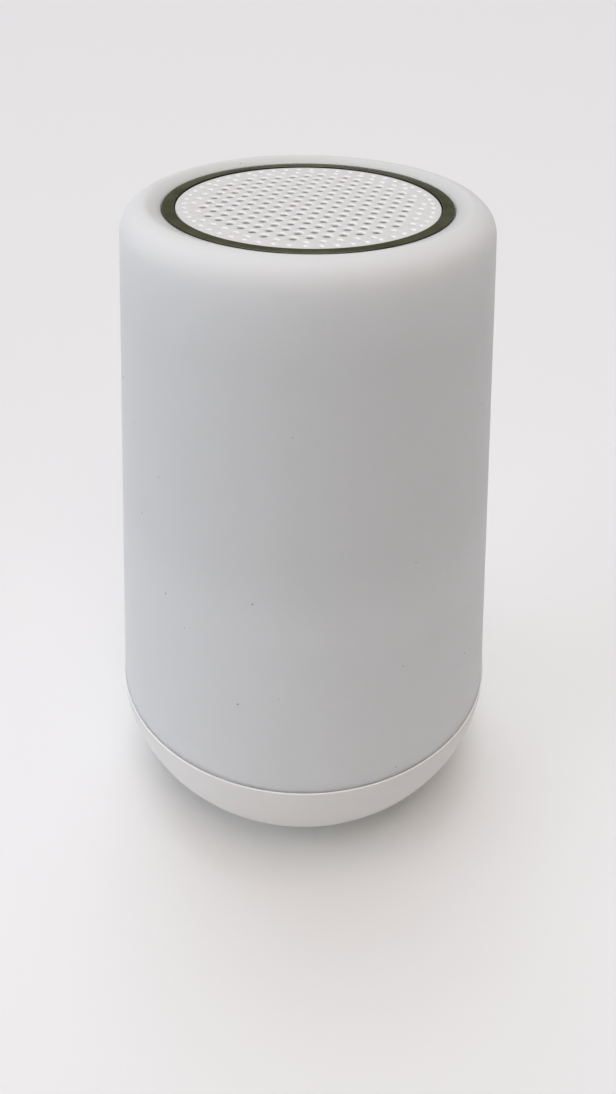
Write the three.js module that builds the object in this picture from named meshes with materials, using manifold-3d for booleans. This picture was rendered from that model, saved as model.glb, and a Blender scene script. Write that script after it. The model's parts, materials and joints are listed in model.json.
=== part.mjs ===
// A portable wireless speaker with a built-in lamp: a tapered translucent diffuser stands on a bowl-shaped
// base, and an upward-firing driver sits under a round perforated grille at the top.
// Millimetres, +Z up. The origin is the centre of the footprint on the surface that the feet stand on.
// The front faces -Y, and the buttons and sockets are at the back, +Y.
import * as THREE from "three";
import { mergeVertices } from "three/addons/utils/BufferGeometryUtils.js";
import Module from "manifold-3d";

const wasm = await Module();
wasm.setup();

// ---------- Driving dimensions ----------
const GAP = 0.3; // clearance between touching pieces
const WALL = 2.6; // moulded wall of the diffuser and the base
const DEG = Math.PI / 180;

const HEIGHT = 190; // feet to the crown of the diffuser
const FACE_Z = HEIGHT - 1.05; // top face of the touch ring
const TAPER = Math.tan(6.06 * DEG); // the diffuser widens by this much per millimetre going down
const FACE_R = 44.9; // the taper's radius at FACE_Z, where the rounded shoulder replaces it
const SEAM_Z = FACE_Z - 148.2; // top edge of the base
const RING_R = 35; // touch ring, outside
const RING_BORE = 32.17; // touch ring, inside

const BASE_R = 60.9; // widest radius of the base
const BASE_CENTRE_Z = SEAM_Z - 2; // height of that widest radius
const BASE_ARC = 43.9; // radius of the bowl's outline
const BASE_FLOOR_Z = 1.2; // the base stands this far off the surface, on its feet

const POD_R = 32.2; // outside of the cup that holds the driver
const POD_FLOOR_Z = 143; // underside of that cup
const DRIVER_Z = 180.6; // underside of the driver's flange
const COLUMN_R = 14; // tube between the base and the cup

const HOLE_PITCH = 3.84; // grille: spacing of the staggered holes
const HOLE_R = 1.15;
const HOLE_FIELD_R = 26.6; // grille: centres of the through holes lie inside this radius
const HOLE_TURN = 15 * DEG; // grille: the rows stand at this angle to X

const PANEL_TILT = 17 * DEG; // the socket panel leans with the wall of the bowl
const PANEL_W = 40;
const PANEL_H = 18;
const PANEL_Y = 53.9; // centre of the panel's face
const PANEL_Z = 26.5;

const ROUND = 32; // facets of the large turned pieces
const MEDIUM = 24;
const SMALL = 12;

const coneR = (z) => FACE_R + TAPER * (FACE_Z - z);

// ---------- Materials ----------
const material = (color, roughness, metalness = 0) =>
  new THREE.MeshStandardMaterial({ color, roughness, metalness });
const MAT = {
  diffuser: material(0xe3e3e3, 0.42),
  white: material(0xe6e3de, 0.35),
  grille: material(0xe8e6e4, 0.4),
  ring: material(0x4d4b3c, 0.22, 1),
  rubber: material(0x2b2c2d, 0.85),
  panel: material(0x8b8c8e, 0.5),
  key: material(0xd9d8d4, 0.5),
  steel: material(0xb5b8ba, 0.35, 1),
  ferrite: material(0x2a2a2c, 0.7),
  paper: material(0x2f2f31, 0.8),
  board: material(0x1f5a3a, 0.55),
  whiteBoard: material(0xf1f1ee, 0.5),
  chip: material(0x1b1b1d, 0.5),
  led: material(0xf3e9b8, 0.3),
  cell: material(0x3f78a8, 0.4),
  lead: material(0xb02a25, 0.55),
  copper: material(0xb06a3c, 0.4, 1),
  foam: material(0x3a3a3c, 0.95),
};

// ---------- Shape helpers ----------
const at = (x, y) => new THREE.Vector2(x, y);

// Points of an arc about (r, z), from one angle to another in degrees, with semi-axes a and b.
function arc(r, z, a, b, from, to, steps) {
  const points = [];
  for (let i = 0; i <= steps; i++) {
    const t = (from + ((to - from) * i) / steps) * DEG;
    points.push(at(r + a * Math.cos(t), z + b * Math.sin(t)));
  }
  return points;
}

// A solid of revolution about Z. A ring's outline is given counter-clockwise and closes on itself.
function turned(points, segments = ROUND) {
  const onAxis = points[0].x === 0 && points[points.length - 1].x === 0;
  const outline = onAxis ? points : [...points, points[0].clone()];
  return new THREE.LatheGeometry(outline, segments).rotateX(Math.PI / 2);
}

// A plain tube or disc from z0 to z1, between two radii.
function washer(inner, outer, z0, z1, segments = MEDIUM) {
  const edge = inner > 0 ? inner : 0;
  const outline = [at(edge, z0), at(outer, z0), at(outer, z1), at(edge, z1)];
  return turned(outline, segments);
}

// A box given by its lowest and highest corners.
function block(x0, y0, z0, x1, y1, z1) {
  const box = new THREE.BoxGeometry(x1 - x0, y1 - y0, z1 - z0);
  return box.translate((x0 + x1) / 2, (y0 + y1) / 2, (z0 + z1) / 2);
}

// A rod of radius r along Z, X or Y.
function rod(r, from, to, axis = "z", segments = SMALL) {
  const geometry = new THREE.CylinderGeometry(r, r, to - from, segments);
  geometry.translate(0, (from + to) / 2, 0);
  if (axis === "z") geometry.rotateX(Math.PI / 2);
  if (axis === "x") geometry.rotateZ(-Math.PI / 2);
  return geometry;
}

// A rectangle with rounded corners, standing in the XZ plane and reaching from y0 to y1.
function slab(width, height, radius, y0, y1, steps = 3) {
  const w = width / 2 - radius;
  const h = height / 2 - radius;
  const shape = new THREE.Shape();
  shape.moveTo(w, -h - radius);
  shape.absarc(w, -h, radius, -Math.PI / 2, 0);
  shape.absarc(w, h, radius, 0, Math.PI / 2);
  shape.absarc(-w, h, radius, Math.PI / 2, Math.PI);
  shape.absarc(-w, -h, radius, Math.PI, Math.PI * 1.5);
  const options = { depth: y1 - y0, bevelEnabled: false, curveSegments: steps };
  return new THREE.ExtrudeGeometry(shape, options).rotateX(Math.PI / 2).translate(0, y1, 0);
}

// A round lead along a smooth curve through the points.
function lead(points, radius, steps) {
  const path = new THREE.CatmullRomCurve3(points.map((p) => new THREE.Vector3(...p)));
  const section = new THREE.Shape();
  section.absarc(0, 0, radius, 0, Math.PI * 2);
  const options = { steps, extrudePath: path, curveSegments: 4, bevelEnabled: false };
  return new THREE.ExtrudeGeometry(section, options);
}

function solidOf(geometry) {
  const bare = geometry.clone();
  bare.deleteAttribute("normal");
  bare.deleteAttribute("uv");
  const merged = mergeVertices(bare, 1e-3);
  return new wasm.Manifold(
    new wasm.Mesh({
      numProp: 3,
      vertProperties: merged.attributes.position.array,
      triVerts: new Uint32Array(merged.index.array),
    }),
  );
}

function geometryOf(solid) {
  const mesh = solid.getMesh();
  const geometry = new THREE.BufferGeometry();
  geometry.setAttribute("position", new THREE.BufferAttribute(mesh.vertProperties, 3));
  geometry.setIndex(new THREE.BufferAttribute(mesh.triVerts, 1));
  geometry.computeVertexNormals();
  return geometry;
}

// Joins the geometries in `add` to the first one, then cuts away those in `cut`.
function shaped(first, { add = [], cut = [] }) {
  let solid = solidOf(first);
  for (const piece of add) solid = solid.add(solidOf(piece));
  for (const piece of cut) solid = solid.subtract(solidOf(piece));
  return geometryOf(solid);
}

// Calls make(x, y, index) for each of `count` places on a circle, the first at `start` degrees.
function around(count, radius, start, make) {
  return Array.from({ length: count }, (_, i) => {
    const angle = (start + (360 * i) / count) * DEG;
    return make(radius * Math.cos(angle), radius * Math.sin(angle), i);
  });
}

const speaker = new THREE.Group();

function put(name, geometry, look, parent = speaker) {
  const mesh = new THREE.Mesh(geometry, look);
  mesh.name = name;
  parent.add(mesh);
  return mesh;
}

// A pan-head screw with its head above z = 0, and its shank below.
function screw(headR, headH, shankR, length) {
  const outline = [at(0, -length), at(shankR, -length), at(shankR, 0), at(headR, 0)];
  return turned([...outline, at(headR, headH * 0.6), at(headR * 0.6, headH), at(0, headH)], 8);
}

// ---------- Diffuser ----------
const SHOULDER = { a: 7.67, b: 6.95, r: 37.81, z: HEIGHT - 6.8 };
const CROWN = { a: 2.6, b: 2.6, r: 39.14, z: HEIGHT - 2.6 };
const DIP = 1.22; // the top slopes down this far from its crown to the ring
const LEDGE_Z = 184; // the cup's flange rests here
const LEDGE_R = 33;
const SEAT_R = RING_R + GAP;
const BROW = { r: 38.6, z: 177.4, b: 4 }; // rounded inner corner under the ledge
const DIFFUSER_FOOT_Z = SEAM_Z + GAP;
const innerR = (z) => coneR(z) - WALL;

function diffuser() {
  const outline = [
    at(innerR(DIFFUSER_FOOT_Z), DIFFUSER_FOOT_Z),
    at(coneR(DIFFUSER_FOOT_Z) - GAP, DIFFUSER_FOOT_Z),
    ...arc(SHOULDER.r, SHOULDER.z, SHOULDER.a, SHOULDER.b, 5.5, 74, 5),
    ...arc(CROWN.r, CROWN.z, CROWN.a, CROWN.b, 90, 109, 1),
    at(SEAT_R, HEIGHT - DIP),
    at(SEAT_R, LEDGE_Z),
    at(LEDGE_R, LEDGE_Z),
    at(LEDGE_R, LEDGE_Z - WALL),
    ...arc(BROW.r, BROW.z, innerR(BROW.z) - BROW.r, BROW.b, 90, 0, 2),
  ];
  return turned(outline);
}
put("diffuser_shell", diffuser(), MAT.diffuser);

// ---------- Touch ring and grille ----------
const POD_FLANGE_Z = LEDGE_Z + GAP + 1.7; // top of the cup's flange
const RING_FOOT_Z = POD_FLANGE_Z + GAP;

function touchRing() {
  const bevel = 0.35;
  return turned([
    at(RING_BORE, RING_FOOT_Z),
    at(RING_R, RING_FOOT_Z),
    at(RING_R, FACE_Z - bevel),
    at(RING_R - bevel, FACE_Z),
    at(RING_BORE + bevel, FACE_Z),
    at(RING_BORE, FACE_Z - bevel),
  ]);
}
put("touch_ring", touchRing(), MAT.ring);

const GRILLE_R = RING_BORE - GAP;
const GRILLE_Z = FACE_Z - 0.3; // the grille lies a little below the ring
const GRILLE_PLATE = 1.6;
const GRILLE_SPIGOT_R = 29;
const GRILLE_BORE = 28.3;
const GRILLE_FOOT_Z = 182.5;
const GRILLE_BEVEL = 0.3;

// The rows of a staggered grid: neighbours stand one pitch apart, at the corners of equal triangles.
function holeCentres() {
  const centres = [];
  const reach = Math.ceil(HOLE_FIELD_R / HOLE_PITCH) + 2;
  for (let i = -2 * reach; i <= 2 * reach; i++)
    for (let j = -reach; j <= reach; j++) {
      const x = HOLE_PITCH * (i + j / 2);
      const y = HOLE_PITCH * j * Math.sin(60 * DEG);
      const point = at(x, y).rotateAround(at(0, 0), HOLE_TURN);
      if (point.length() <= HOLE_FIELD_R) centres.push(point);
    }
  return centres;
}

function grille() {
  const plateZ = GRILLE_Z - GRILLE_PLATE;
  const body = turned([
    at(0, plateZ),
    at(GRILLE_BORE, plateZ),
    at(GRILLE_BORE, GRILLE_FOOT_Z),
    at(GRILLE_SPIGOT_R, GRILLE_FOOT_Z),
    at(GRILLE_SPIGOT_R, RING_FOOT_Z),
    at(GRILLE_R, RING_FOOT_Z),
    at(GRILLE_R, GRILLE_Z - GRILLE_BEVEL),
    at(GRILLE_R - GRILLE_BEVEL, GRILLE_Z),
    at(0, GRILLE_Z),
  ]);
  const holes = holeCentres().map((p) =>
    rod(HOLE_R, plateZ - 1, GRILLE_Z + 1, "z", 6).translate(p.x, p.y, 0),
  );
  return shaped(body, { cut: holes });
}
put("speaker_grille", grille(), MAT.grille);

// ---------- Base: bowl, bottom cover, feet ----------
const FLOOR_T = Math.asin((BASE_CENTRE_Z - BASE_FLOOR_Z) / BASE_ARC) / DEG;
const BOWL_R = BASE_R - BASE_ARC; // the bowl's outline is an arc about this radius
const COVER_R = 36.7;
const COVER_TOP = 3.6;
const COVER_LEDGE_R = 30.5;
const COVER_LEDGE_T = 1.8;
const RIM_BORE = 57.6; // the base's rim, inside, above the ledge that carries the deck
const DECK_LEDGE_R = 54.6;
const DECK_LEDGE_T = 1.7;
const DECK_LEDGE_Z = SEAM_Z - 2.7;
const BOTTOM_SCREW_CIRCLE = 33.6;
const BOTTOM_SCREW_START = 45;
const SCREW_HOLE_R = 1.5;
const BOSS = { r: 3.1, top: 13, pilotTop: 11.5 };
const RIM_BEVEL = 0.4;
const PANEL_T = 2;
const PANEL_CORNER = 2.4;

const bowlOutline = (steps) => arc(BOWL_R, BASE_CENTRE_Z, BASE_ARC, BASE_ARC, -FLOOR_T, 0, steps);

// Carries geometry from the socket panel's own axes, with Y out of the panel, into the row frame.
const panelMatrix = new THREE.Matrix4()
  .makeRotationX(-PANEL_TILT)
  .setPosition(0, PANEL_Y, PANEL_Z);
const onPanel = (geometry) => geometry.applyMatrix4(panelMatrix);

function bowl() {
  const innerArc = BASE_ARC - WALL;
  const ledgeTop = COVER_TOP + GAP;
  const floorZ = ledgeTop + COVER_LEDGE_T;
  const low = Math.asin((BASE_CENTRE_Z - floorZ) / innerArc) / DEG;
  const shell = turned([
    at(COVER_R + GAP, BASE_FLOOR_Z),
    ...bowlOutline(7),
    at(BASE_R - 0.05, SEAM_Z - RIM_BEVEL),
    at(BASE_R - RIM_BEVEL, SEAM_Z),
    at(RIM_BORE, SEAM_Z),
    at(RIM_BORE, DECK_LEDGE_Z),
    at(DECK_LEDGE_R, DECK_LEDGE_Z),
    at(DECK_LEDGE_R, DECK_LEDGE_Z - DECK_LEDGE_T),
    ...arc(BOWL_R, BASE_CENTRE_Z, innerArc, innerArc, -7, -low, 4),
    at(COVER_LEDGE_R, floorZ),
    at(COVER_LEDGE_R, ledgeTop),
    at(COVER_R + GAP, ledgeTop),
  ]);
  const outside = turned([
    at(0, BASE_FLOOR_Z),
    ...bowlOutline(7),
    at(BASE_R - 0.05, SEAM_Z - RIM_BEVEL),
    at(0, SEAM_Z - RIM_BEVEL),
  ]);
  // The panel's surround: thick enough to carry it, and trimmed to the outside of the bowl.
  const surround = solidOf(onPanel(slab(PANEL_W + 4, PANEL_H + 3, 3, -3.7, 14)));
  const frame = geometryOf(surround.intersect(solidOf(outside)));
  const bosses = around(4, BOTTOM_SCREW_CIRCLE, BOTTOM_SCREW_START, (x, y) =>
    rod(BOSS.r, ledgeTop + 0.5, BOSS.top, "z", 8).translate(x, y, 0),
  );
  const pilots = around(4, BOTTOM_SCREW_CIRCLE, BOTTOM_SCREW_START, (x, y) =>
    rod(SCREW_HOLE_R, 0, BOSS.pilotTop, "z", 8).translate(x, y, 0),
  );
  const recess = onPanel(slab(PANEL_W, PANEL_H, PANEL_CORNER, -PANEL_T - GAP, 20));
  const window = onPanel(slab(PANEL_W - 3, PANEL_H - 2.4, 1.6, -6, 5));
  return shaped(shell, { add: [frame, ...bosses], cut: [recess, window, ...pilots] });
}
put("base_shell", bowl(), MAT.white);

const FOOT_CIRCLE = 26.5;
const FOOT_R = 5.5;
const FOOT_SINK = 0.8;
const COUNTERBORE = 1.3;
const COUNTERBORE_R = 2.7;

function bottomCover() {
  const pockets = around(4, FOOT_CIRCLE, 0, (x, y) =>
    rod(FOOT_R + GAP, 0, BASE_FLOOR_Z + FOOT_SINK, "z", 16).translate(x, y, 0),
  );
  const holes = around(4, BOTTOM_SCREW_CIRCLE, BOTTOM_SCREW_START, (x, y) =>
    rod(SCREW_HOLE_R, 0, COVER_TOP + 1, "z", 8).translate(x, y, 0),
  );
  const sinks = around(4, BOTTOM_SCREW_CIRCLE, BOTTOM_SCREW_START, (x, y) =>
    rod(COUNTERBORE_R, 0, BASE_FLOOR_Z + COUNTERBORE, "z", 12).translate(x, y, 0),
  );
  return shaped(washer(0, COVER_R, BASE_FLOOR_Z, COVER_TOP, ROUND), {
    cut: [...pockets, ...holes, ...sinks],
  });
}
put("bottom_cover", bottomCover(), MAT.white);

around(4, FOOT_CIRCLE, 0, (x, y, i) => {
  const top = BASE_FLOOR_Z + FOOT_SINK - GAP;
  const outline = [at(0, 0), at(FOOT_R - 0.5, 0), at(FOOT_R, 0.5), at(FOOT_R, top), at(0, top)];
  put(`foot_${i + 1}`, turned(outline, 16), MAT.rubber).position.set(x, y, 0);
});

around(4, BOTTOM_SCREW_CIRCLE, BOTTOM_SCREW_START, (x, y, i) => {
  const mesh = put(`bottom_screw_${i + 1}`, screw(2.3, 0.9, 1.2, 8), MAT.steel);
  mesh.position.set(x, y, BASE_FLOOR_Z + COUNTERBORE - GAP);
  mesh.rotation.x = Math.PI;
});

// ---------- Deck, lamp board and column ----------
const DECK_Z = DECK_LEDGE_Z + GAP;
const DECK_TOP = DECK_Z + 2.2;
const DECK_R = 57;
const DECK_RIM = { z: 45.6, width: 2 }; // the rim stands up inside the diffuser's foot
const WIRE_HOLE_R = 7;
const BOARD_TOP = 31.6; // main board, upper face
const POST = { x: 26, y: 17 };
const COLUMN_SCREW_CIRCLE = 16.8;
const corners = (x, y) => [at(x, y), at(-x, y), at(-x, -y), at(x, -y)];
const wireSlot = (z0, z1) => block(-31, -3, z0, -26, 3, z1); // the lamp board's lead comes through here

function deck() {
  const plate = turned([
    at(WIRE_HOLE_R, DECK_Z),
    at(DECK_R, DECK_Z),
    at(DECK_R, DECK_RIM.z),
    at(DECK_R - DECK_RIM.width, DECK_RIM.z),
    at(DECK_R - DECK_RIM.width, DECK_TOP),
    at(WIRE_HOLE_R, DECK_TOP),
  ]);
  const posts = corners(POST.x, POST.y).map((p) =>
    rod(3, BOARD_TOP + GAP, DECK_Z + 0.5, "z", 8).translate(p.x, p.y, 0),
  );
  const pilots = corners(POST.x, POST.y).map((p) =>
    rod(1.4, BOARD_TOP - 1, DECK_Z - 0.6, "z", 6).translate(p.x, p.y, 0),
  );
  const screwHoles = around(3, COLUMN_SCREW_CIRCLE, 90, (x, y) =>
    rod(SCREW_HOLE_R, DECK_Z - 1, DECK_TOP + 1, "z", 8).translate(x, y, 0),
  );
  const slot = wireSlot(DECK_Z - 1, DECK_TOP + 1);
  return shaped(plate, { add: posts, cut: [...pilots, ...screwHoles, slot] });
}
put("chassis_deck", deck(), MAT.whiteBoard);

const BOARD_T = 1.6;
const LED_BOARD_Z = DECK_TOP + GAP;
const LED_BOARD_TOP = LED_BOARD_Z + BOARD_T;
const LED_CIRCLE = 37;
const LED_HALF = 2.5;
const LED_T = 1.6;

put(
  "led_board",
  shaped(washer(21, 46, LED_BOARD_Z, LED_BOARD_TOP, ROUND), {
    cut: [wireSlot(LED_BOARD_Z - 1, LED_BOARD_TOP + 1)],
  }),
  MAT.whiteBoard,
);

around(6, LED_CIRCLE, 30, (x, y, i) => {
  const led = block(-LED_HALF, -LED_HALF, 0, LED_HALF, LED_HALF, LED_T);
  const mesh = put(`led_${i + 1}`, led, MAT.led);
  mesh.position.set(x, y, LED_BOARD_TOP + GAP);
  mesh.rotation.z = Math.atan2(y, x);
});

const COLUMN_FOOT_Z = DECK_TOP + GAP;
const COLUMN_WALL = 2.4;
const FLANGE_R = 19.5;
const FLANGE_T = 2.5;
const FLANGE_SINK = 0.4; // the screw heads sit this deep in the flange

function column() {
  const tube = turned(
    [
      at(COLUMN_R - COLUMN_WALL, COLUMN_FOOT_Z),
      at(FLANGE_R, COLUMN_FOOT_Z),
      at(FLANGE_R, COLUMN_FOOT_Z + FLANGE_T),
      at(COLUMN_R, COLUMN_FOOT_Z + FLANGE_T + 1),
      at(COLUMN_R, POD_FLOOR_Z - GAP),
      at(COLUMN_R - COLUMN_WALL, POD_FLOOR_Z - GAP),
    ],
    MEDIUM,
  );
  const holes = around(3, COLUMN_SCREW_CIRCLE, 90, (x, y) =>
    rod(SCREW_HOLE_R, COLUMN_FOOT_Z - 1, COLUMN_FOOT_Z + 6, "z", 8).translate(x, y, 0),
  );
  const seats = around(3, COLUMN_SCREW_CIRCLE, 90, (x, y) =>
    rod(2.5, COLUMN_FOOT_Z + FLANGE_T - FLANGE_SINK, COLUMN_FOOT_Z + 6, "z", 8).translate(x, y, 0),
  );
  return shaped(tube, { cut: [...holes, ...seats] });
}
put("light_column", column(), MAT.whiteBoard);

around(3, COLUMN_SCREW_CIRCLE, 90, (x, y, i) => {
  const mesh = put(`column_screw_${i + 1}`, screw(2.1, 1.3, 1.2, 7), MAT.steel);
  mesh.position.set(x, y, COLUMN_FOOT_Z + FLANGE_T - FLANGE_SINK + GAP);
});

// ---------- Driver cup ----------
const GASKET_T = 1;
const SEAT_Z = DRIVER_Z - GAP - GASKET_T - GAP; // the gasket lies on this ledge
const POD_WALL = 2.2;
const POD_BORE = 29.6;
const POD_LEDGE_R = 24.2;
const POD_HOLE_R = 5.5; // the driver's lead comes through here
const DRIVER_SCREW_CIRCLE = 26.2;

function pod() {
  const floorTop = POD_FLOOR_Z + POD_WALL;
  const outline = [
    at(POD_HOLE_R, POD_FLOOR_Z),
    at(COLUMN_R + GAP, POD_FLOOR_Z),
    at(COLUMN_R + GAP, POD_FLOOR_Z - 9),
    at(COLUMN_R + 2.5, POD_FLOOR_Z - 9),
    at(COLUMN_R + 2.5, POD_FLOOR_Z),
    at(POD_R - 2, POD_FLOOR_Z),
    at(POD_R, POD_FLOOR_Z + 2),
    at(POD_R, LEDGE_Z + GAP),
    at(RING_R, LEDGE_Z + GAP),
    at(RING_R, POD_FLANGE_Z),
    at(POD_BORE, POD_FLANGE_Z),
    at(POD_BORE, SEAT_Z),
    at(POD_LEDGE_R, SEAT_Z),
    at(POD_LEDGE_R, SEAT_Z - 3),
    at(POD_BORE, SEAT_Z - 6),
    at(POD_BORE, floorTop),
    at(POD_HOLE_R, floorTop),
  ];
  const pilots = around(4, DRIVER_SCREW_CIRCLE, 45, (x, y) =>
    rod(1.3, SEAT_Z - 8, SEAT_Z + 1, "z", 6).translate(x, y, 0),
  );
  return shaped(turned(outline, MEDIUM), { cut: pilots });
}
put("speaker_pod", pod(), MAT.whiteBoard);

// ---------- Driver ----------
const DRIVER_R = 29.3;
const DRIVER_FLANGE_T = 1.2;
const driverScrewHoles = (z0, z1) =>
  around(4, DRIVER_SCREW_CIRCLE, 45, (x, y) => rod(1.4, z0, z1, "z", 6).translate(x, y, 0));

put(
  "driver_gasket",
  shaped(washer(24.6, DRIVER_R, SEAT_Z + GAP, SEAT_Z + GAP + GASKET_T), {
    cut: driverScrewHoles(SEAT_Z - 1, SEAT_Z + 3),
  }),
  MAT.foam,
);

const FRAME_FOOT_Z = DRIVER_Z - 16.6; // underside of the basket, which stands on the magnet

function basket() {
  const top = DRIVER_Z + DRIVER_FLANGE_T;
  const body = turned(
    [
      at(10.5, FRAME_FOOT_Z),
      at(19.6, FRAME_FOOT_Z),
      at(19.6, FRAME_FOOT_Z + 3.5),
      at(23.8, DRIVER_Z - 1.4),
      at(23.8, DRIVER_Z),
      at(DRIVER_R, DRIVER_Z),
      at(DRIVER_R, top),
      at(22.6, top),
      at(22.6, DRIVER_Z - 0.6),
      at(18.4, FRAME_FOOT_Z + 4.6),
      at(18.4, FRAME_FOOT_Z + 1.4),
      at(10.5, FRAME_FOOT_Z + 1.4),
    ],
    MEDIUM,
  );
  const windows = around(4, 21, 0, (x, y, i) =>
    block(-5, -8, FRAME_FOOT_Z + 5.4, 5, 8, DRIVER_Z - 2.4)
      .rotateZ(i * 90 * DEG)
      .translate(x, y, 0),
  );
  return shaped(body, { cut: [...windows, ...driverScrewHoles(DRIVER_Z - 1, top + 1)] });
}
put("driver_basket", basket(), MAT.steel);

around(4, DRIVER_SCREW_CIRCLE, 45, (x, y, i) => {
  const mesh = put(`driver_screw_${i + 1}`, screw(1.7, 1, 0.95, 7), MAT.steel);
  mesh.position.set(x, y, DRIVER_Z + DRIVER_FLANGE_T + GAP);
});

const COIL_R = 8; // voice coil, outside
const COIL_T = 0.6;
const POLE_R = COIL_R - 1.1;
const PLATE_Z = FRAME_FOOT_Z - GAP - 2.8;
const MAGNET_T = 8;
const MAGNET_Z = PLATE_Z - GAP - MAGNET_T;
const YOKE_Z = MAGNET_Z - GAP - 2.9;

put("magnet_top_plate", washer(COIL_R + 0.6, 19, PLATE_Z, FRAME_FOOT_Z - GAP), MAT.steel);
put("driver_magnet", washer(11, 21, MAGNET_Z, PLATE_Z - GAP), MAT.ferrite);
put(
  "magnet_yoke",
  turned(
    [
      at(0, YOKE_Z),
      at(19.5, YOKE_Z),
      at(19.5, MAGNET_Z - GAP),
      at(POLE_R, MAGNET_Z - GAP),
      at(POLE_R, FRAME_FOOT_Z - GAP),
      at(0, FRAME_FOOT_Z - GAP),
    ],
    MEDIUM,
  ),
  MAT.steel,
);

const CONE_R = 19.8;
const CONE_TOP = DRIVER_Z - 0.8;
const NECK_Z = CONE_TOP - 9.6;

put(
  "speaker_cone",
  turned(
    [
      at(COIL_R + GAP, NECK_Z),
      at(COIL_R + 1.3, NECK_Z),
      at(CONE_R, CONE_TOP - 0.8),
      at(CONE_R, CONE_TOP),
      at(CONE_R - 1, CONE_TOP),
      at(COIL_R + GAP, NECK_Z + 0.9),
    ],
    MEDIUM,
  ),
  MAT.paper,
);

const capEdge = NECK_Z + 1.8;
put(
  "dust_cap",
  turned(
    [
      at(0, capEdge + 2.6),
      ...arc(0, capEdge, 8.2, 2.6, 90, 0, 4).slice(1),
      ...arc(0, capEdge, 8.8, 3.2, 0, 90, 4).slice(0, -1),
      at(0, capEdge + 3.2),
    ],
    16,
  ),
  MAT.paper,
);

put("voice_coil", washer(COIL_R - COIL_T, COIL_R, PLATE_Z - 2.2, NECK_Z + 0.8), MAT.copper);

// The surround: a half roll between the flange's edge and the cone's.
const ROLL = { r: 21.4, z: DRIVER_Z + 1.5, inside: 1.2, outside: 1.8 };
const SURROUND_T = 0.6;
const SURROUND_R = 24.2;
const SURROUND_BORE = 18.8;
put(
  "surround",
  turned(
    [
      at(SURROUND_BORE, CONE_TOP + GAP),
      at(ROLL.r - ROLL.inside, CONE_TOP + GAP),
      ...arc(ROLL.r, ROLL.z, ROLL.inside, ROLL.inside, 180, 0, 4),
      at(SURROUND_R, ROLL.z),
      at(SURROUND_R, ROLL.z + SURROUND_T),
      ...arc(ROLL.r, ROLL.z, ROLL.outside, ROLL.outside, 19, 161, 4),
      at(ROLL.r - ROLL.outside, CONE_TOP + GAP + SURROUND_T),
      at(SURROUND_BORE, CONE_TOP + GAP + SURROUND_T),
    ],
    MEDIUM,
  ),
  MAT.rubber,
);

const SPIDER_Z = FRAME_FOOT_Z + 2.6;
put(
  "spider",
  turned(
    [
      at(COIL_R + 0.4, SPIDER_Z),
      at(11, SPIDER_Z + 1.4),
      at(13.2, SPIDER_Z + 0.7),
      at(15.4, SPIDER_Z + 2.1),
      at(18.1, SPIDER_Z + 1.8),
      at(18.1, SPIDER_Z + 2.3),
      at(15.4, SPIDER_Z + 2.6),
      at(13.2, SPIDER_Z + 1.2),
      at(11, SPIDER_Z + 1.9),
      at(COIL_R + 0.4, SPIDER_Z + 0.5),
    ],
    MEDIUM,
  ),
  MAT.foam,
);

// ---------- Main board ----------
const BOARD_Z = BOARD_TOP - BOARD_T;

put(
  "main_board",
  shaped(block(-30, -21, BOARD_Z, 30, 21, BOARD_TOP), {
    cut: corners(POST.x, POST.y).map((p) =>
      rod(SCREW_HOLE_R, BOARD_Z - 1, BOARD_TOP + 1, "z", 8).translate(p.x, p.y, 0),
    ),
  }),
  MAT.board,
);
const PARTS_Z = BOARD_TOP + GAP;
put("bluetooth_module", block(-18, -18, PARTS_Z, 0, -4, PARTS_Z + 2.4), MAT.steel);
put("amplifier_chip", block(11, -8, PARTS_Z, 18, -1, PARTS_Z + 1.2), MAT.chip);
put("lead_connector", block(6, 5, PARTS_Z, 14, 11, PARTS_Z + 4), MAT.whiteBoard);

// ---------- Battery ----------
const CELL = { r: 9.2, half: 32.5, y: -9, z: 17.2 };
const CRADLE = { halfX: 34.5, halfY: 11, z: COVER_TOP + GAP + COVER_LEDGE_T + GAP };

function cradle() {
  const { halfX, halfY, z } = CRADLE;
  const tray = block(-halfX, CELL.y - halfY, z, halfX, CELL.y + halfY, CELL.z);
  const bed = rod(CELL.r + GAP, -CELL.half - GAP, CELL.half + GAP, "x", 20);
  return shaped(tray, { cut: [bed.translate(0, CELL.y, CELL.z)] });
}
put("battery_cradle", cradle(), MAT.panel);
const cell = put("battery_cell", rod(CELL.r, -CELL.half, CELL.half, "x", 20), MAT.cell);
cell.position.set(0, CELL.y, CELL.z);

// ---------- Socket panel, in its own axes: Y points out of the panel ----------
const panel = new THREE.Group();
panel.applyMatrix4(panelMatrix);
speaker.add(panel);

const KEY_ROW = 3.6; // height of the buttons above the panel's centre
const PORT_ROW = -4.4;
const KEY_X = [-14.4, -4.8, 4.8, 14.4];
const KEY_R = 3.2;
const KEY_RISE = 1.2; // a button stands this proud of the panel
const SWITCH_X = 13.4;
const SWITCH_SLOT = { width: 8.2, height: 3.2 };
const USB_X = 2;
const USB = { width: 9, height: 3.2, mouthWidth: 8.3, mouthHeight: 2.5, depth: 7.5 };
const AUX_X = -9.6;
const AUX = { r: 2.6, bore: 1.75, depth: 8 };
const LENS_X = -16.4;
const LENS_R = 0.9;
const IO_BOARD_Y = -9; // front face of the board behind the panel

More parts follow.
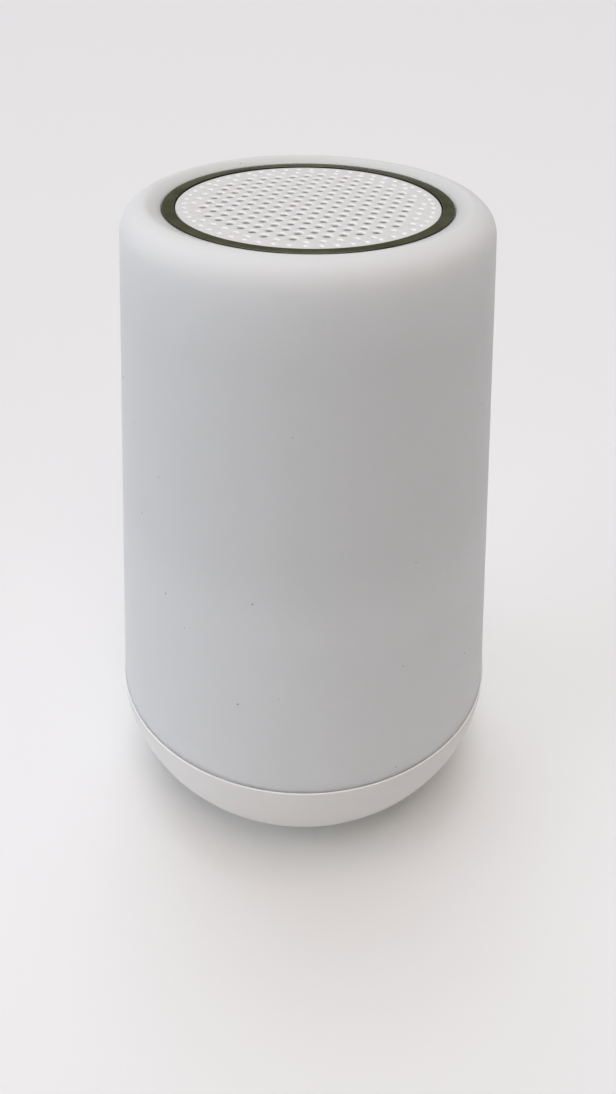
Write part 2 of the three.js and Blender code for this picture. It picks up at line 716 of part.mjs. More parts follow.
function panelPlate() {
  const plate = slab(PANEL_W - 2 * GAP, PANEL_H - 2 * GAP, PANEL_CORNER - GAP, -PANEL_T, 0);
  const keyHoles = KEY_X.map((x) => rod(KEY_R + GAP, -4, 2, "y").translate(x, 0, KEY_ROW));
  const usb = slab(USB.width + 2 * GAP, USB.height + 2 * GAP, 1.8, -4, 2);
  const slot = slab(SWITCH_SLOT.width, SWITCH_SLOT.height, 0.6, -4, 2, 1);
  const aux = rod(AUX.r + GAP, -4, 2, "y");
  const lens = rod(LENS_R + GAP, -4, 2, "y", 8);
  const portHoles = [
    usb.translate(USB_X, 0, PORT_ROW),
    slot.translate(SWITCH_X, 0, PORT_ROW),
    aux.translate(AUX_X, 0, PORT_ROW),
    lens.translate(LENS_X, 0, PORT_ROW),
  ];
  return shaped(plate, { cut: [...keyHoles, ...portHoles] });
}
put("rear_panel", panelPlate(), MAT.panel, panel);

// A button: a round cap through the panel, a collar behind it, and a stem that reaches its switch.
function key() {
  const outline = [
    at(0, -4.6),
    at(1.4, -4.6),
    at(1.4, -3.5),
    at(KEY_R + 0.5, -3.5),
    at(KEY_R + 0.5, -PANEL_T - GAP),
    at(KEY_R, -PANEL_T - GAP),
    at(KEY_R, KEY_RISE - 0.4),
    at(KEY_R - 0.5, KEY_RISE),
    at(0, KEY_RISE),
  ];
  return new THREE.LatheGeometry(outline, SMALL);
}
["light_button", "volume_up_button", "play_button", "volume_down_button"].forEach((name, i) => {
  put(name, key(), MAT.key, panel).position.set(KEY_X[i], 0, KEY_ROW);
});

const SWITCH_TRAVEL = 3;
const knob = shaped(block(-2, -3, -1.3, 2, 0.9, 1.3), {
  add: [block(-2.6, -3.2, -2.1, 2.6, -PANEL_T - GAP, 2.1)],
});
const powerSwitch = put("power_switch", knob, MAT.ferrite, panel);
powerSwitch.position.set(SWITCH_X - SWITCH_TRAVEL / 2, 0, PORT_ROW);

function usbPort() {
  const body = slab(USB.width, USB.height, 1.5, IO_BOARD_Y + GAP, -0.2);
  const mouth = slab(USB.mouthWidth, USB.mouthHeight, 1.2, -USB.depth, 2);
  const tongue = block(-3.35, -8, -0.35, 3.35, -1, 0.35);
  const solid = solidOf(body).subtract(solidOf(mouth)).add(solidOf(tongue));
  return geometryOf(solid);
}
put("usb_c_port", usbPort(), MAT.steel, panel).position.set(USB_X, 0, PORT_ROW);

const auxJack = shaped(block(-3.3, IO_BOARD_Y + GAP, -3, 3.3, -3, 3), {
  add: [rod(AUX.r, -3.2, -0.1, "y")],
  cut: [rod(AUX.bore, -AUX.depth, 1, "y")],
});
put("aux_jack", auxJack, MAT.chip, panel).position.set(AUX_X, 0, PORT_ROW);

const lightPipe = rod(LENS_R, IO_BOARD_Y + GAP, 0.15, "y", 8);
put("status_lens", lightPipe, MAT.led, panel).position.set(LENS_X, 0, PORT_ROW);

// The board behind the panel, with a tactile switch for each button and the slide switch's body.
function ioBoard() {
  const plate = block(-19.5, IO_BOARD_Y - 1.2, -8, 19.5, IO_BOARD_Y, 8);
  const switches = KEY_X.map((x) =>
    block(x - 2.6, IO_BOARD_Y - 0.2, KEY_ROW - 2.6, x + 2.6, -6, KEY_ROW + 2.6),
  );
  const tips = KEY_X.map((x) => rod(1.5, -6.2, -5.5, "y", 8).translate(x, 0, KEY_ROW));
  const slider = block(SWITCH_X - 4.4, IO_BOARD_Y - 0.2, -6.2, SWITCH_X + 4.4, -3.6, -2.2);
  return shaped(plate, { add: [...switches, ...tips, slider] });
}
put("io_board", ioBoard(), MAT.board, panel);

// ---------- Leads, as points from end to end ----------
const speakerRoute = [
  [21.4, 0, 166],
  [22.8, 0, 162],
  [24.6, 0, 157],
  [25, 0, 150.5],
  [21, 0, 147.2],
  [8, 0, 146.9],
  [1.8, 0, 145],
  [0, 0, 141],
  [0, 0, 95],
  [0, 0, 48],
  [0.8, 0.6, 41],
  [5, 3.9, 37.4],
  [10, 7.8, 37.1],
];
put("speaker_lead", lead(speakerRoute, 0.8, 26), MAT.lead);

const lampRoute = [
  [-23.5, 0, 43.4],
  [-27.6, 0, 43],
  [-28.8, 0, 39],
  [-26, 2.5, 34.6],
  [-20, 6, 33],
];
put("lamp_lead", lead(lampRoute, 0.7, 12), MAT.lead);

const cellRoute = [
  [32.9, -9, 20],
  [35.4, -8.4, 21.5],
  [36.6, -4, 26.5],
  [34.6, 1.5, 32],
  [29, 6, 34.6],
  [21, 8, 34.4],
  [14.4, 8, 33.8],
];
put("battery_lead", lead(cellRoute, 0.7, 16), MAT.lead);

export default speaker;
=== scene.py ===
import json
import math
import random

import bmesh
import bpy
from mathutils import Matrix, Vector

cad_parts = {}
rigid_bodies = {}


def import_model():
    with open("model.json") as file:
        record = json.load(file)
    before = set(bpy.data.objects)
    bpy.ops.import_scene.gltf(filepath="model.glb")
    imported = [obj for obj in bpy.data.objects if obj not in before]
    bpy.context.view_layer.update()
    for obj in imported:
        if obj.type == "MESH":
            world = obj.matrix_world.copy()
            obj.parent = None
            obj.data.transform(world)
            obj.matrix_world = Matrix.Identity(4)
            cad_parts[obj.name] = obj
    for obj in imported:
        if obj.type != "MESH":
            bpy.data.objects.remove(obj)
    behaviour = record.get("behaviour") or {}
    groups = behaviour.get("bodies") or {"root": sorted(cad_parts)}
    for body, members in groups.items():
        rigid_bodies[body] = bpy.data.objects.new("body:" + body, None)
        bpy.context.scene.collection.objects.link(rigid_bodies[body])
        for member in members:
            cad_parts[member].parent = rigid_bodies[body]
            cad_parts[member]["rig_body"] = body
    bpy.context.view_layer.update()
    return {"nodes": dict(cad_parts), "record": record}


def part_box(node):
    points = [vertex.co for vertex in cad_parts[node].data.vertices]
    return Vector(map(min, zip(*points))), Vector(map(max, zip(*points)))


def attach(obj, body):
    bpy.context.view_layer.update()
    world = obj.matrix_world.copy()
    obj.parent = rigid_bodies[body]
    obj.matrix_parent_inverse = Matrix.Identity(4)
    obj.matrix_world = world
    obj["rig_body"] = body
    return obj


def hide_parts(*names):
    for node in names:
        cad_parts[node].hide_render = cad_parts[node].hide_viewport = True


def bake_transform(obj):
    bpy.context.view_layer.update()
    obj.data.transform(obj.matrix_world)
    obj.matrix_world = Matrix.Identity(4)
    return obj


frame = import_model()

MM = 0.001
MATERIAL_SLOT = {s["node"]: s["material_slot"] for s in frame["record"]["subparts"]}


# ---------- Driving dimensions, read from the frame ----------
def low(node):
    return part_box(node)[0] / MM


def high(node):
    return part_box(node)[1] / MM


HEIGHT = high("diffuser_shell").z
FACE_Z = high("touch_ring").z
GRILLE_Z = FACE_Z - 0.3  # the grille lies a little below the ring
SEAM_Z = high("base_shell").z
BASE_R = high("base_shell").x
RING_R = high("touch_ring").x
GRILLE_R = high("speaker_grille").x
FLOOR_Z = low("base_shell").z  # the base stands this far off the surface, on its feet
COVER_R = high("bottom_cover").x
COVER_TOP = high("bottom_cover").z
LIP_W = 0.45  # lip of the base, around the foot of the diffuser
LIP_H = 0.6

GAP = 0.3
WALL = 2.6
STEP_SLACK = 0.04  # between the diffuser's foot and the lip beside it
STEP_CLEARANCE = 0.03  # between the diffuser's foot and the step under it
TAPER = math.tan(math.radians(6.06))
FACE_R = 44.9  # radius of the diffuser's taper, carried up to FACE_Z
BASE_ARC = 43.9
BASE_CENTRE_Z = SEAM_Z - 2
BASE_CENTRE_R = BASE_R - BASE_ARC
SHOULDER = {"a": 7.67, "b": 6.95, "r": 37.81, "z": HEIGHT - 6.8}
CROWN = {"a": 2.6, "b": 2.6, "r": 39.14, "z": HEIGHT - 2.6}
DIP = 1.22  # the top slopes down this far from its crown to the ring
LEDGE_Z = 184  # the inner ledge of the diffuser, which carries the ring
LEDGE_R = 33
BROW_R = 38.6  # where the diffuser's ceiling turns down into its wall
BROW_H = 4
DECK_LEDGE_R = 57.6  # the base's inner ledge for the deck, and the narrower rim below it
DECK_RIM_R = 54.6
COVER_SEAT_R = 30.5
RING_BORE = GRILLE_R + GAP
RING_FOOT_Z = low("touch_ring").z

HOLE_PITCH = 3.84
HOLE_THROAT = 0.95  # radius of a hole below its flared mouth
HOLE_FLARE = 0.55
HOLE_FIELD_R = 26.6
HOLE_TURN = 15
BLIND_R = 0.5
BLIND_DEPTH = 0.8
RIM_CIRCLE = 29.8  # the last circle of small blind holes
RIM_HOLES = 54
RIM_HOLE_R = 0.35
GRILLE_PLATE = 1.6
SPIGOT_R = 29
SPIGOT_BORE = 28.3

PANEL_W = 40
PANEL_H = 18
PANEL_Y = 53.9
PANEL_Z = 26.5
PANEL_TILT = 17
PANEL_T = 2
PANEL_CORNER = 2.4
KEY_ROW = 3.6
PORT_ROW = -4.4
KEY_R = 3.2
KEY_X = {"light_button": -14.4, "volume_up_button": -4.8, "play_button": 4.8, "volume_down_button": 14.4}
SWITCH_X = 13.4
USB_X = 2
AUX_X = -9.6
LENS_X = -16.4

FOOT_CIRCLE = 26.5
FOOT_R = 5.5
FOOT_SINK = 0.8
FOOT_GROOVES = (1.9, 3.7)  # radii of the grip grooves under each foot
SCREW_CIRCLE = 33.6
SCREW_START = 45
SCREW_HOLE_R = 1.5
COUNTERBORE = 1.3
COUNTERBORE_R = 2.7
FLANGE_CIRCLE = 16.8
DRIVER_CIRCLE = 26.2
INNER_SCREW = 7  # length of the column's and the driver's screws

SWITCH_BOARD_Z = -9.0  # these heights are measured from the panel's face
SWITCH_BOARD_T = 1.2
SWITCH_TOP = -6

LAMP_CIRCLE = 37


def cone_r(z):
    return FACE_R + TAPER * (FACE_Z - z)


# ---------- Camera, floor and light ----------
# The viewpoint is that of a phone held close in front of the object and above it.
CAMERA_AT = (0, -217.7, FACE_Z + 64.1)
CAMERA_PITCH = 37.81
CAMERA_YAW = 0.262
CAMERA_ROLL = 0.772
CAMERA_LENS = 28.93


def camera():
    data = bpy.data.cameras.new("camera")
    data.sensor_width = 36
    data.lens = CAMERA_LENS
    data.clip_start = 0.01
    eye = bpy.data.objects.new("camera", data)
    bpy.context.scene.collection.objects.link(eye)
    pitch = math.radians(CAMERA_PITCH)
    yaw = math.radians(CAMERA_YAW)
    level = math.cos(pitch)
    ahead = Vector((math.sin(yaw) * level, math.cos(yaw) * level, -math.sin(pitch)))
    right = Vector((math.cos(yaw), -math.sin(yaw), 0))
    turn = Matrix.Rotation(math.radians(-CAMERA_ROLL), 3, ahead)
    right = turn @ right
    up = right.cross(ahead)
    axes = Matrix((right, up, -ahead)).transposed().to_4x4()
    eye.matrix_world = Matrix.Translation(Vector(CAMERA_AT) * MM) @ axes
    bpy.context.scene.camera = eye


def distant_light(name, towards, power, spread, color):
    data = bpy.data.lights.new(name, "SUN")
    data.energy = power
    data.angle = math.radians(spread)
    data.color = color
    lamp = bpy.data.objects.new(name, data)
    bpy.context.scene.collection.objects.link(lamp)
    lamp.rotation_euler = Vector(towards).to_track_quat("Z", "Y").to_euler()


# A pale wall around the floor, which looks brighter than the light it gives.
def pale_world(seen, given):
    world = bpy.data.worlds.new("studio")
    world.use_nodes = True
    tree = world.node_tree
    background = tree.nodes["Background"]
    background.inputs["Color"].default_value = (1, 1, 1, 1)
    path = tree.nodes.new("ShaderNodeLightPath")
    strength = tree.nodes.new("ShaderNodeMapRange")
    strength.inputs["To Min"].default_value = given
    strength.inputs["To Max"].default_value = seen
    tree.links.new(path.outputs["Is Camera Ray"], strength.inputs["Value"])
    tree.links.new(strength.outputs["Result"], background.inputs["Strength"])
    bpy.context.scene.world = world


# A broad warm light overhead, a cool one from the left like a high window, one from behind, and weak
# fill from the front. Each light is where it comes from, its power, its spread in degrees and its colour.
def studio():
    pale_world(0.82, 0.05)
    distant_light("overhead", (0, 0, 1), 1.43, 50, (1.0, 0.91, 0.89))
    distant_light("front", (0.1, -0.7, 1), 0.577, 40, (1.0, 0.945, 0.84))
    distant_light("window", (-1, -0.25, 0.35), 0.93, 50, (0.8, 0.89, 1.0))
    distant_light("back", (-0.1, 0.5, 1), 0.79, 40, (0.8, 0.89, 1.0))
    bpy.context.scene.view_settings.view_transform = "Standard"


# ---------- Mesh helpers ----------
def arc(r, z, a, b, start, end, steps):
    points = []
    for i in range(steps + 1):
        t = math.radians(start + (end - start) * i / steps)
        points.append((r + a * math.cos(t), z + b * math.sin(t)))
    return points


# Replaces each corner that has a third value, its radius, with an arc that is tangent to both sides.
def rounded(points, steps=5):
    out = []
    for i, point in enumerate(points):
        if len(point) == 2:
            out.append(point)
            continue
        here = Vector(point[:2])
        before = (Vector(points[i - 1][:2]) - here).normalized()
        after = (Vector(points[(i + 1) % len(points)][:2]) - here).normalized()
        half = before.angle(after) / 2
        reach = point[2] / math.tan(half)
        centre = here + (before + after).normalized() * (point[2] / math.sin(half))
        first = here + before * reach - centre
        sweep = math.pi - 2 * half
        side = -1 if before.cross(after) > 0 else 1
        for k in range(steps + 1):
            spoke = Matrix.Rotation(side * sweep * k / steps, 2) @ first
            out.append(tuple(centre + spoke))
    return out


def new_object(name, bm, matrix=None, sharp=32):
    bmesh.ops.recalc_face_normals(bm, faces=bm.faces)
    bmesh.ops.transform(bm, matrix=Matrix.Scale(MM, 4) @ (matrix or Matrix()), verts=bm.verts)
    mesh = bpy.data.meshes.new(name)
    bm.to_mesh(mesh)
    bm.free()
    mesh.shade_smooth()
    mesh.set_sharp_from_angle(angle=math.radians(sharp))
    piece = bpy.data.objects.new(name, mesh)
    bpy.context.scene.collection.objects.link(piece)
    return piece


# A solid of revolution about Z, from points (r, z). It closes on itself, or on the axis.
def turn_into(bm, outline, segments):
    rings = []
    for r, z in outline:
        if abs(r) < 1e-6:
            rings.append([bm.verts.new((0, 0, z))])
            continue
        spokes = [2 * math.pi * k / segments for k in range(segments)]
        rings.append([bm.verts.new((r * math.cos(t), r * math.sin(t), z)) for t in spokes])
    for a, b in zip(rings, rings[1:] + rings[:1]):
        if len(a) == 1 and len(b) == 1:
            continue
        for k in range(segments):
            n = (k + 1) % segments
            if len(a) == 1:
                bm.faces.new((a[0], b[n], b[k]))
            elif len(b) == 1:
                bm.faces.new((a[k], a[n], b[0]))
            else:
                bm.faces.new((a[k], a[n], b[n], b[k]))


def turned(name, outline, segments=128, matrix=None, sharp=32):
    bm = bmesh.new()
    turn_into(bm, rounded(outline), segments)
    return new_object(name, bm, matrix, sharp)


# Outlines for plates: each is a function of an offset, which grows the loop by that much.
def circle(x, y, r, count):
    def loop(offset=0.0):
        spokes = [2 * math.pi * k / count for k in range(count)]
        return [(x + (r + offset) * math.cos(t), y + (r + offset) * math.sin(t)) for t in spokes]

    return loop


def rectangle(x, y, width, height, radius, steps=6):
    def loop(offset=0.0):
        w = width / 2 - radius
        h = height / 2 - radius
        r = radius + offset
        centres = ((w, h), (-w, h), (-w, -h), (w, -h))
        points = []
        for i, (cx, cy) in enumerate(centres):
            points += arc(x + cx, y + cy, r, r, 90 * i, 90 * i + 90, steps)
        return points

    return loop


def ring_of(bm, loop, z):
    return [bm.verts.new((x, y, z)) for x, y in loop]


def bridge(bm, a, b):
    for k in range(len(a)):
        n = (k + 1) % len(a)
        bm.faces.new((a[k], a[n], b[n], b[k]))


def fill(bm, rings):
    edges = []
    for ring in rings:
        for k in range(len(ring)):
            n = (k + 1) % len(ring)
            edges.append(bm.edges.get((ring[k], ring[n])) or bm.edges.new((ring[k], ring[n])))
    bmesh.ops.triangle_fill(bm, use_beauty=True, use_dissolve=False, edges=edges)


# A plate from z0 to z1 with through holes and blind ones; every edge on its upper side is rounded over.
def plate(name, outer, holes, z0, z1, edge, blind=(), matrix=None, sharp=32, steps=3, mouth=None):
    bm = bmesh.new()
    lower, upper = [], []

    def wall(loop, sign, bottom):
        rings = [ring_of(bm, loop(0), bottom)]
        radius = edge if sign < 0 or mouth is None else mouth
        for k in range(steps + 1):
            t = math.pi / 2 * k / steps
            flare = sign * radius * (1 - math.cos(t))
            rings.append(ring_of(bm, loop(flare), z1 - radius * (1 - math.sin(t))))
        for a, b in zip(rings, rings[1:]):
            bridge(bm, a, b)
        upper.append(rings[-1])
        return rings[0]

    lower.append(wall(outer, -1, z0))
    for hole in holes:
        lower.append(wall(hole, 1, z0))
    for hole, depth in blind:
        bm.faces.new(wall(hole, 1, z1 - depth))
    fill(bm, lower)
    fill(bm, upper)
    return new_object(name, bm, matrix, sharp)


def apply_modifiers(piece):
    graph = bpy.context.evaluated_depsgraph_get()
    mesh = bpy.data.meshes.new_from_object(piece.evaluated_get(graph))
    piece.modifiers.clear()
    piece.data = mesh


# Cuts each tool away from the piece, or joins it, and removes the tool.
def combine(piece, tools, operation="DIFFERENCE", sharp=32):
    for tool in tools:
        modifier = piece.modifiers.new(operation, "BOOLEAN")
        modifier.operation = operation
        modifier.solver = "EXACT"
        modifier.object = tool
    apply_modifiers(piece)
    for tool in tools:
        bpy.data.objects.remove(tool)
    piece.data.shade_smooth()
    piece.data.set_sharp_from_angle(angle=math.radians(sharp))
    return piece


# The finished piece stands for the CAD node: it rides on the same body, takes the finish it is given, and
# the node is hidden.
def stands_for(piece, node_name, finish):
    piece.data.materials.clear()
    piece.data.materials.append(FINISH[finish])
    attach(piece, frame["nodes"][node_name]["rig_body"])
    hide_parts(node_name)


# A detail of the housing that has no CAD node of its own.
def extra(piece, finish):
    piece.data.materials.clear()
    piece.data.materials.append(FINISH[finish])
    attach(piece, "housing")


def around(count, radius, start):
    for i in range(count):
        t = math.radians(start + 360 * i / count)
        yield i, radius * math.cos(t), radius * math.sin(t)


# ---------- Material helpers ----------
# Sizes of grain are in metres per cycle, so that they read as sizes on the object.
def principled(name, color, roughness, metallic=0.0, **constants):
    material = bpy.data.materials.new(name)
    material.use_nodes = True
    shader = material.node_tree.nodes["Principled BSDF"]
    shader.inputs["Base Color"].default_value = (*color, 1)
    shader.inputs["Roughness"].default_value = roughness
    shader.inputs["Metallic"].default_value = metallic
    for socket, value in constants.items():
        shader.inputs[socket.replace("_", " ")].default_value = value
    return material, shader


def node(material, kind, values=None, **settings):
    made = material.node_tree.nodes.new(kind)
    for key, value in settings.items():
        setattr(made, key, value)
    for socket, value in (values or {}).items():
        made.inputs[socket].default_value = value
    return made


def link(material, output, socket):
    material.node_tree.links.new(output, socket)


def place(material):
    return node(material, "ShaderNodeTexCoord").outputs["Object"]


def noise(material, size, detail=3.0, roughness=0.5, stretch=None):
    values = {"Scale": 1 / size, "Detail": detail, "Roughness": roughness}
    texture = node(material, "ShaderNodeTexNoise", values)
    where = place(material)
    if stretch:
        mapping = node(material, "ShaderNodeMapping", {"Scale": stretch})
        link(material, where, mapping.inputs["Vector"])
        where = mapping.outputs["Vector"]
    link(material, where, texture.inputs["Vector"])
    return texture.outputs["Fac"]


def remap(material, value, from_low, from_high, to_low, to_high, smooth=False):
    kind = "SMOOTHSTEP" if smooth else "LINEAR"
    values = {"From Min": from_low, "From Max": from_high, "To Min": to_low, "To Max": to_high}
    mapped = node(material, "ShaderNodeMapRange", values, interpolation_type=kind)
    link(material, value, mapped.inputs["Value"])
    return mapped.outputs["Result"]


def calculate(material, operation, a, b):
    maths = node(material, "ShaderNodeMath", operation=operation)
    for socket, value in zip(maths.inputs, (a, b)):
        if isinstance(value, (int, float)):
            socket.default_value = value
        else:
            link(material, value, socket)
    return maths.outputs["Value"]


def blend_colors(material, factor, a, b):
    mix = node(material, "ShaderNodeMix", data_type="RGBA")
    for socket, value in ((mix.inputs[6], a), (mix.inputs[7], b)):
        if isinstance(value, tuple):
            socket.default_value = (*value, 1)
        else:
            link(material, value, socket)
    link(material, factor, mix.inputs[0])
    return mix.outputs[2]


def shade(color, factor):
    return tuple(min(1.0, c * factor) for c in color)


# A colour that drifts between two shades of itself, in patches.
def mottled(material, color, size, dark, pale, detail=3.0, spread=0.2):
    cloud = remap(material, noise(material, size, detail), 0.5 - spread, 0.5 + spread, 0, 1)
    return blend_colors(material, cloud, shade(color, dark), shade(color, pale))


# Roughness that drifts between two values, in patches.
def worn(material, shader, size, smooth, rough, detail=5):
    wear = remap(material, noise(material, size, detail), 0.3, 0.7, smooth, rough)
    link(material, wear, shader.inputs["Roughness"])


def bump(material, shader, height, distance, strength=1.0):
    relief = node(material, "ShaderNodeBump", {"Distance": distance, "Strength": strength})
    link(material, height, relief.inputs["Height"])
    link(material, relief.outputs["Normal"], shader.inputs["Normal"])


def separate(material, vector):
    apart = node(material, "ShaderNodeSeparateXYZ")
    link(material, vector, apart.inputs["Vector"])
    return apart.outputs


def height_of(material):
    return separate(material, place(material))["Z"]


# 1 where the surface lies flat and faces up, 0 where it stands upright.
def facing_up(material):
    return separate(material, node(material, "ShaderNodeNewGeometry").outputs["Normal"])["Z"]


# Distance from the Z axis, in metres.
def radius_of(material):
    apart = separate(material, place(material))
    flat = node(material, "ShaderNodeCombineXYZ")
    link(material, apart["X"], flat.inputs["X"])
    link(material, apart["Y"], flat.inputs["Y"])
    length = node(material, "ShaderNodeVectorMath", operation="LENGTH")
    link(material, flat.outputs["Vector"], length.inputs[0])
    return length.outputs["Value"]


# Smooth white plastic, with a painted highlight along the rim that meets the diffuser.
def base_finish():
    color = (0.83, 0.812, 0.795)
    material, shader = principled("base_plastic", color, 0.32, Specular_IOR_Level=0.25)
    tone = mottled(material, color, 0.03, 0.985, 1.015)
    # Painted highlight: the lip at the seam is painted paler.
    rim = remap(material, height_of(material), (SEAM_Z - 0.5) * MM, (SEAM_Z - 0.1) * MM, 0, 0.9)
    tone = blend_colors(material, rim, tone, (0.98, 0.97, 0.95))
    link(material, tone, shader.inputs["Base Color"])
    worn(material, shader, 0.01, 0.28, 0.36)
    bump(material, shader, noise(material, 0.0006, 2), 0.000004)
    return material


# Moulded plastic, rubber, paper or foam: mottled in patches, with a fine grain in relief.
def moulded(name, color, roughness, mottle, patch, grain, relief, **constants):
    material, shader = principled(name, color, roughness, **constants)
    tone = mottled(material, color, patch, 1 - mottle, 1 + mottle)
    link(material, tone, shader.inputs["Base Color"])
    worn(material, shader, patch / 3, roughness * 0.85, roughness * 1.15)
    bump(material, shader, noise(material, grain, 2), relief)
    return material


def metal(name, color, roughness, patch=0.004, stretch=None, relief=0.000004, tint=0.12):
    material, shader = principled(name, color, roughness, 1.0)
    streak = remap(material, noise(material, patch, 6, 0.6, stretch), 0.3, 0.7, 0, 1)
    tone = blend_colors(material, streak, shade(color, 1 - tint), shade(color, 1 + tint))
    link(material, tone, shader.inputs["Base Color"])
    wear = remap(material, streak, 0, 1, roughness * 0.75, roughness * 1.25)
    link(material, wear, shader.inputs["Roughness"])
    bump(material, shader, streak, relief)
    return material


# ---------- Materials ----------
# Milky plastic: light sinks in and spreads. It has painted shade on the top round the ring and down the
# middle of the wall, painted light towards the foot, and a few dark specks.
def diffuser_finish():
    color = (0.80, 0.805, 0.81)
    constants = {
        "Subsurface_Weight": 1.0,
        "Subsurface_Radius": (1.0, 0.97, 0.9),
        "Subsurface_Scale": 0.006,
        "Specular_IOR_Level": 0.06,
        "IOR": 1.49,
    }
    material, shader = principled("diffuser", color, 0.4, **constants)
    tone = mottled(material, color, 0.045, 0.985, 1.01, detail=2, spread=0.15)
    # Painted shade on the top round the ring.
    ring_shade_reach = remap(material, radius_of(material), 0.0378, 0.0428, 1, 0, smooth=True)
    on_top = remap(material, height_of(material), 0.17, 0.18, 0, 0.5)
    seat = calculate(material, "MULTIPLY", ring_shade_reach, on_top)
    tone = blend_colors(material, seat, tone, (0.62, 0.64, 0.60))
    # Painted light towards the foot, standing in for light from the floor.
    painted_floor_light = remap(material, height_of(material), 0.085, SEAM_Z * MM, 0, 0.35)
    tone = blend_colors(material, painted_floor_light, tone, (0.9, 0.9, 0.89))
    # Painted shade down the middle of the wall.
    wall_shade_rise = remap(material, height_of(material), 0.095, 0.12, 0, 0.5, smooth=True)
    wall_shade_fall = remap(material, height_of(material), 0.18, 0.165, 0, 1, smooth=True)
    middle = calculate(material, "MULTIPLY", wall_shade_rise, wall_shade_fall)
    tone = blend_colors(material, middle, tone, shade(color, 0.87))
    # Painted light along the foot, over the shade above the lip.
    foot = remap(material, height_of(material), (SEAM_Z + 1) * MM, SEAM_Z * MM, 0, 0.9, smooth=True)
    tone = blend_colors(material, foot, tone, (0.98, 0.98, 0.97))
    speck = remap(material, noise(material, 0.0024, 1), 0.8, 0.815, 0, 1)
    tone = blend_colors(material, calculate(material, "MULTIPLY", speck, 0.6), tone, (0.16, 0.14, 0.12))
    link(material, tone, shader.inputs["Base Color"])
    scuff = remap(material, noise(material, 0.006, 8, 0.7), 0.62, 0.72, 0, 1)
    satin = remap(material, noise(material, 0.012, 4), 0.3, 0.7, 0.36, 0.44)
    roughness = calculate(material, "ADD", satin, calculate(material, "MULTIPLY", scuff, 0.12))
    link(material, roughness, shader.inputs["Roughness"])
    bump(material, shader, noise(material, 0.0005, 2), 0.000006)
    return material


# Pale plastic, smooth, with a painted highlight in the mouths of the holes and painted shade down their
# throats.
def grille_finish():
    color = (0.88, 0.868, 0.862)
    material, shader = principled("grille_plastic", color, 0.34)
    tone = mottled(material, color, 0.01, 0.985, 1.015)
    slope = facing_up(material)
    # Painted highlight on the flared mouths of the holes.
    mouth = remap(material, slope, 0.97, 0.9, 0, 1)
    tone = blend_colors(material, mouth, tone, (1, 1, 0.99))
    # Painted shade down the throats of the holes.
    painted_throat_shade = remap(material, slope, 0.3, 0.1, 0, 1)
    tone = blend_colors(material, painted_throat_shade, tone, (0.6, 0.6, 0.61))
    link(material, tone, shader.inputs["Base Color"])
    worn(material, shader, 0.0033, 0.29, 0.39)
    bump(material, shader, noise(material, 0.0003, 2), 0.000004)
    return material


# Dark olive metal, with its sides painted black as shade.
def ring_finish():
    color = (0.113, 0.116, 0.062)
    material, shader = principled("ring_metal", color, 0.3, 0.35)
    smudge = remap(material, noise(material, 0.007, 4), 0.35, 0.65, 0, 1)
    tone = blend_colors(material, smudge, shade(color, 0.88), shade(color, 1.1))
    # Painted shade: every face that does not face up is painted near black.
    top = remap(material, facing_up(material), 0.3, 0.6, 0, 1)
    tone = blend_colors(material, top, (0.006, 0.006, 0.006), tone)
    link(material, tone, shader.inputs["Base Color"])
    link(material, remap(material, smudge, 0, 1, 0.25, 0.35), shader.inputs["Roughness"])
    bump(material, shader, noise(material, 0.0008, 3), 0.000002)
    return material


def lens_finish():
    color = (0.86, 0.86, 0.83)
    return moulded("lens", color, 0.2, 0.02, 0.003, 0.0004, 0.000003, Subsurface_Weight=0.3)


# Colour, roughness, mottle, and the sizes of patches and grain and the depth of the relief, in metres.
MOULDED = {
    "foot_rubber": ((0.028, 0.028, 0.03), 0.75, 0.15, 0.004, 0.0002, 0.00002),
    "white_plastic": ((0.78, 0.78, 0.77), 0.5, 0.02, 0.015, 0.0003, 0.00001),
    "lamp_board": ((0.84, 0.84, 0.82), 0.32, 0.02, 0.01, 0.0006, 0.000005),
    "lamp": ((0.88, 0.76, 0.30), 0.18, 0.05, 0.002, 0.0003, 0.000004),
    "foam": ((0.05, 0.05, 0.055), 0.95, 0.3, 0.002, 0.0004, 0.0001),
    "ferrite": ((0.035, 0.035, 0.038), 0.55, 0.2, 0.003, 0.0005, 0.00002),
    "cone_paper": ((0.04, 0.04, 0.043), 0.8, 0.25, 0.0015, 0.0003, 0.00005),
    "spider_cloth": ((0.55, 0.38, 0.14), 0.8, 0.2, 0.001, 0.0004, 0.00008),
    "circuit_board": ((0.02, 0.13, 0.06), 0.35, 0.25, 0.003, 0.0008, 0.00002),
    "black_plastic": ((0.02, 0.02, 0.022), 0.45, 0.1, 0.004, 0.00025, 0.00001),
    "cell_sleeve": ((0.05, 0.20, 0.40), 0.25, 0.06, 0.008, 0.001, 0.00001),
    "panel_plastic": ((0.30, 0.305, 0.31), 0.5, 0.04, 0.006, 0.00025, 0.00002),
    "key_plastic": ((0.72, 0.71, 0.69), 0.4, 0.02, 0.005, 0.0003, 0.000006),
    "lead_sleeve": ((0.42, 0.03, 0.025), 0.5, 0.1, 0.004, 0.0004, 0.00001),
    "print": ((0.10, 0.10, 0.105), 0.6, 0.1, 0.001, 0.0002, 0.000004),
}
# Colour, roughness, size of the streaks in metres, their stretch, and the depth of the relief in metres.
METAL = {
    "screw_steel": ((0.56, 0.56, 0.55), 0.3),
    "coil_copper": ((0.62, 0.27, 0.12), 0.28, 0.002, (1, 1, 30), 0.00002),
    "shield_can": ((0.62, 0.62, 0.59), 0.34),
    "port_steel": ((0.60, 0.60, 0.60), 0.25, 0.003, (1, 20, 1)),
}


def finishes():
    made = {
        "diffuser": diffuser_finish(),
        "base_plastic": base_finish(),
        "grille_plastic": grille_finish(),
        "ring_metal": ring_finish(),
        "lens": lens_finish(),
    }
    for name, recipe in MOULDED.items():
        made[name] = moulded(name, *recipe)
    for name, recipe in METAL.items():
        made[name] = metal(name, *recipe)
    return made


FINISH = finishes()


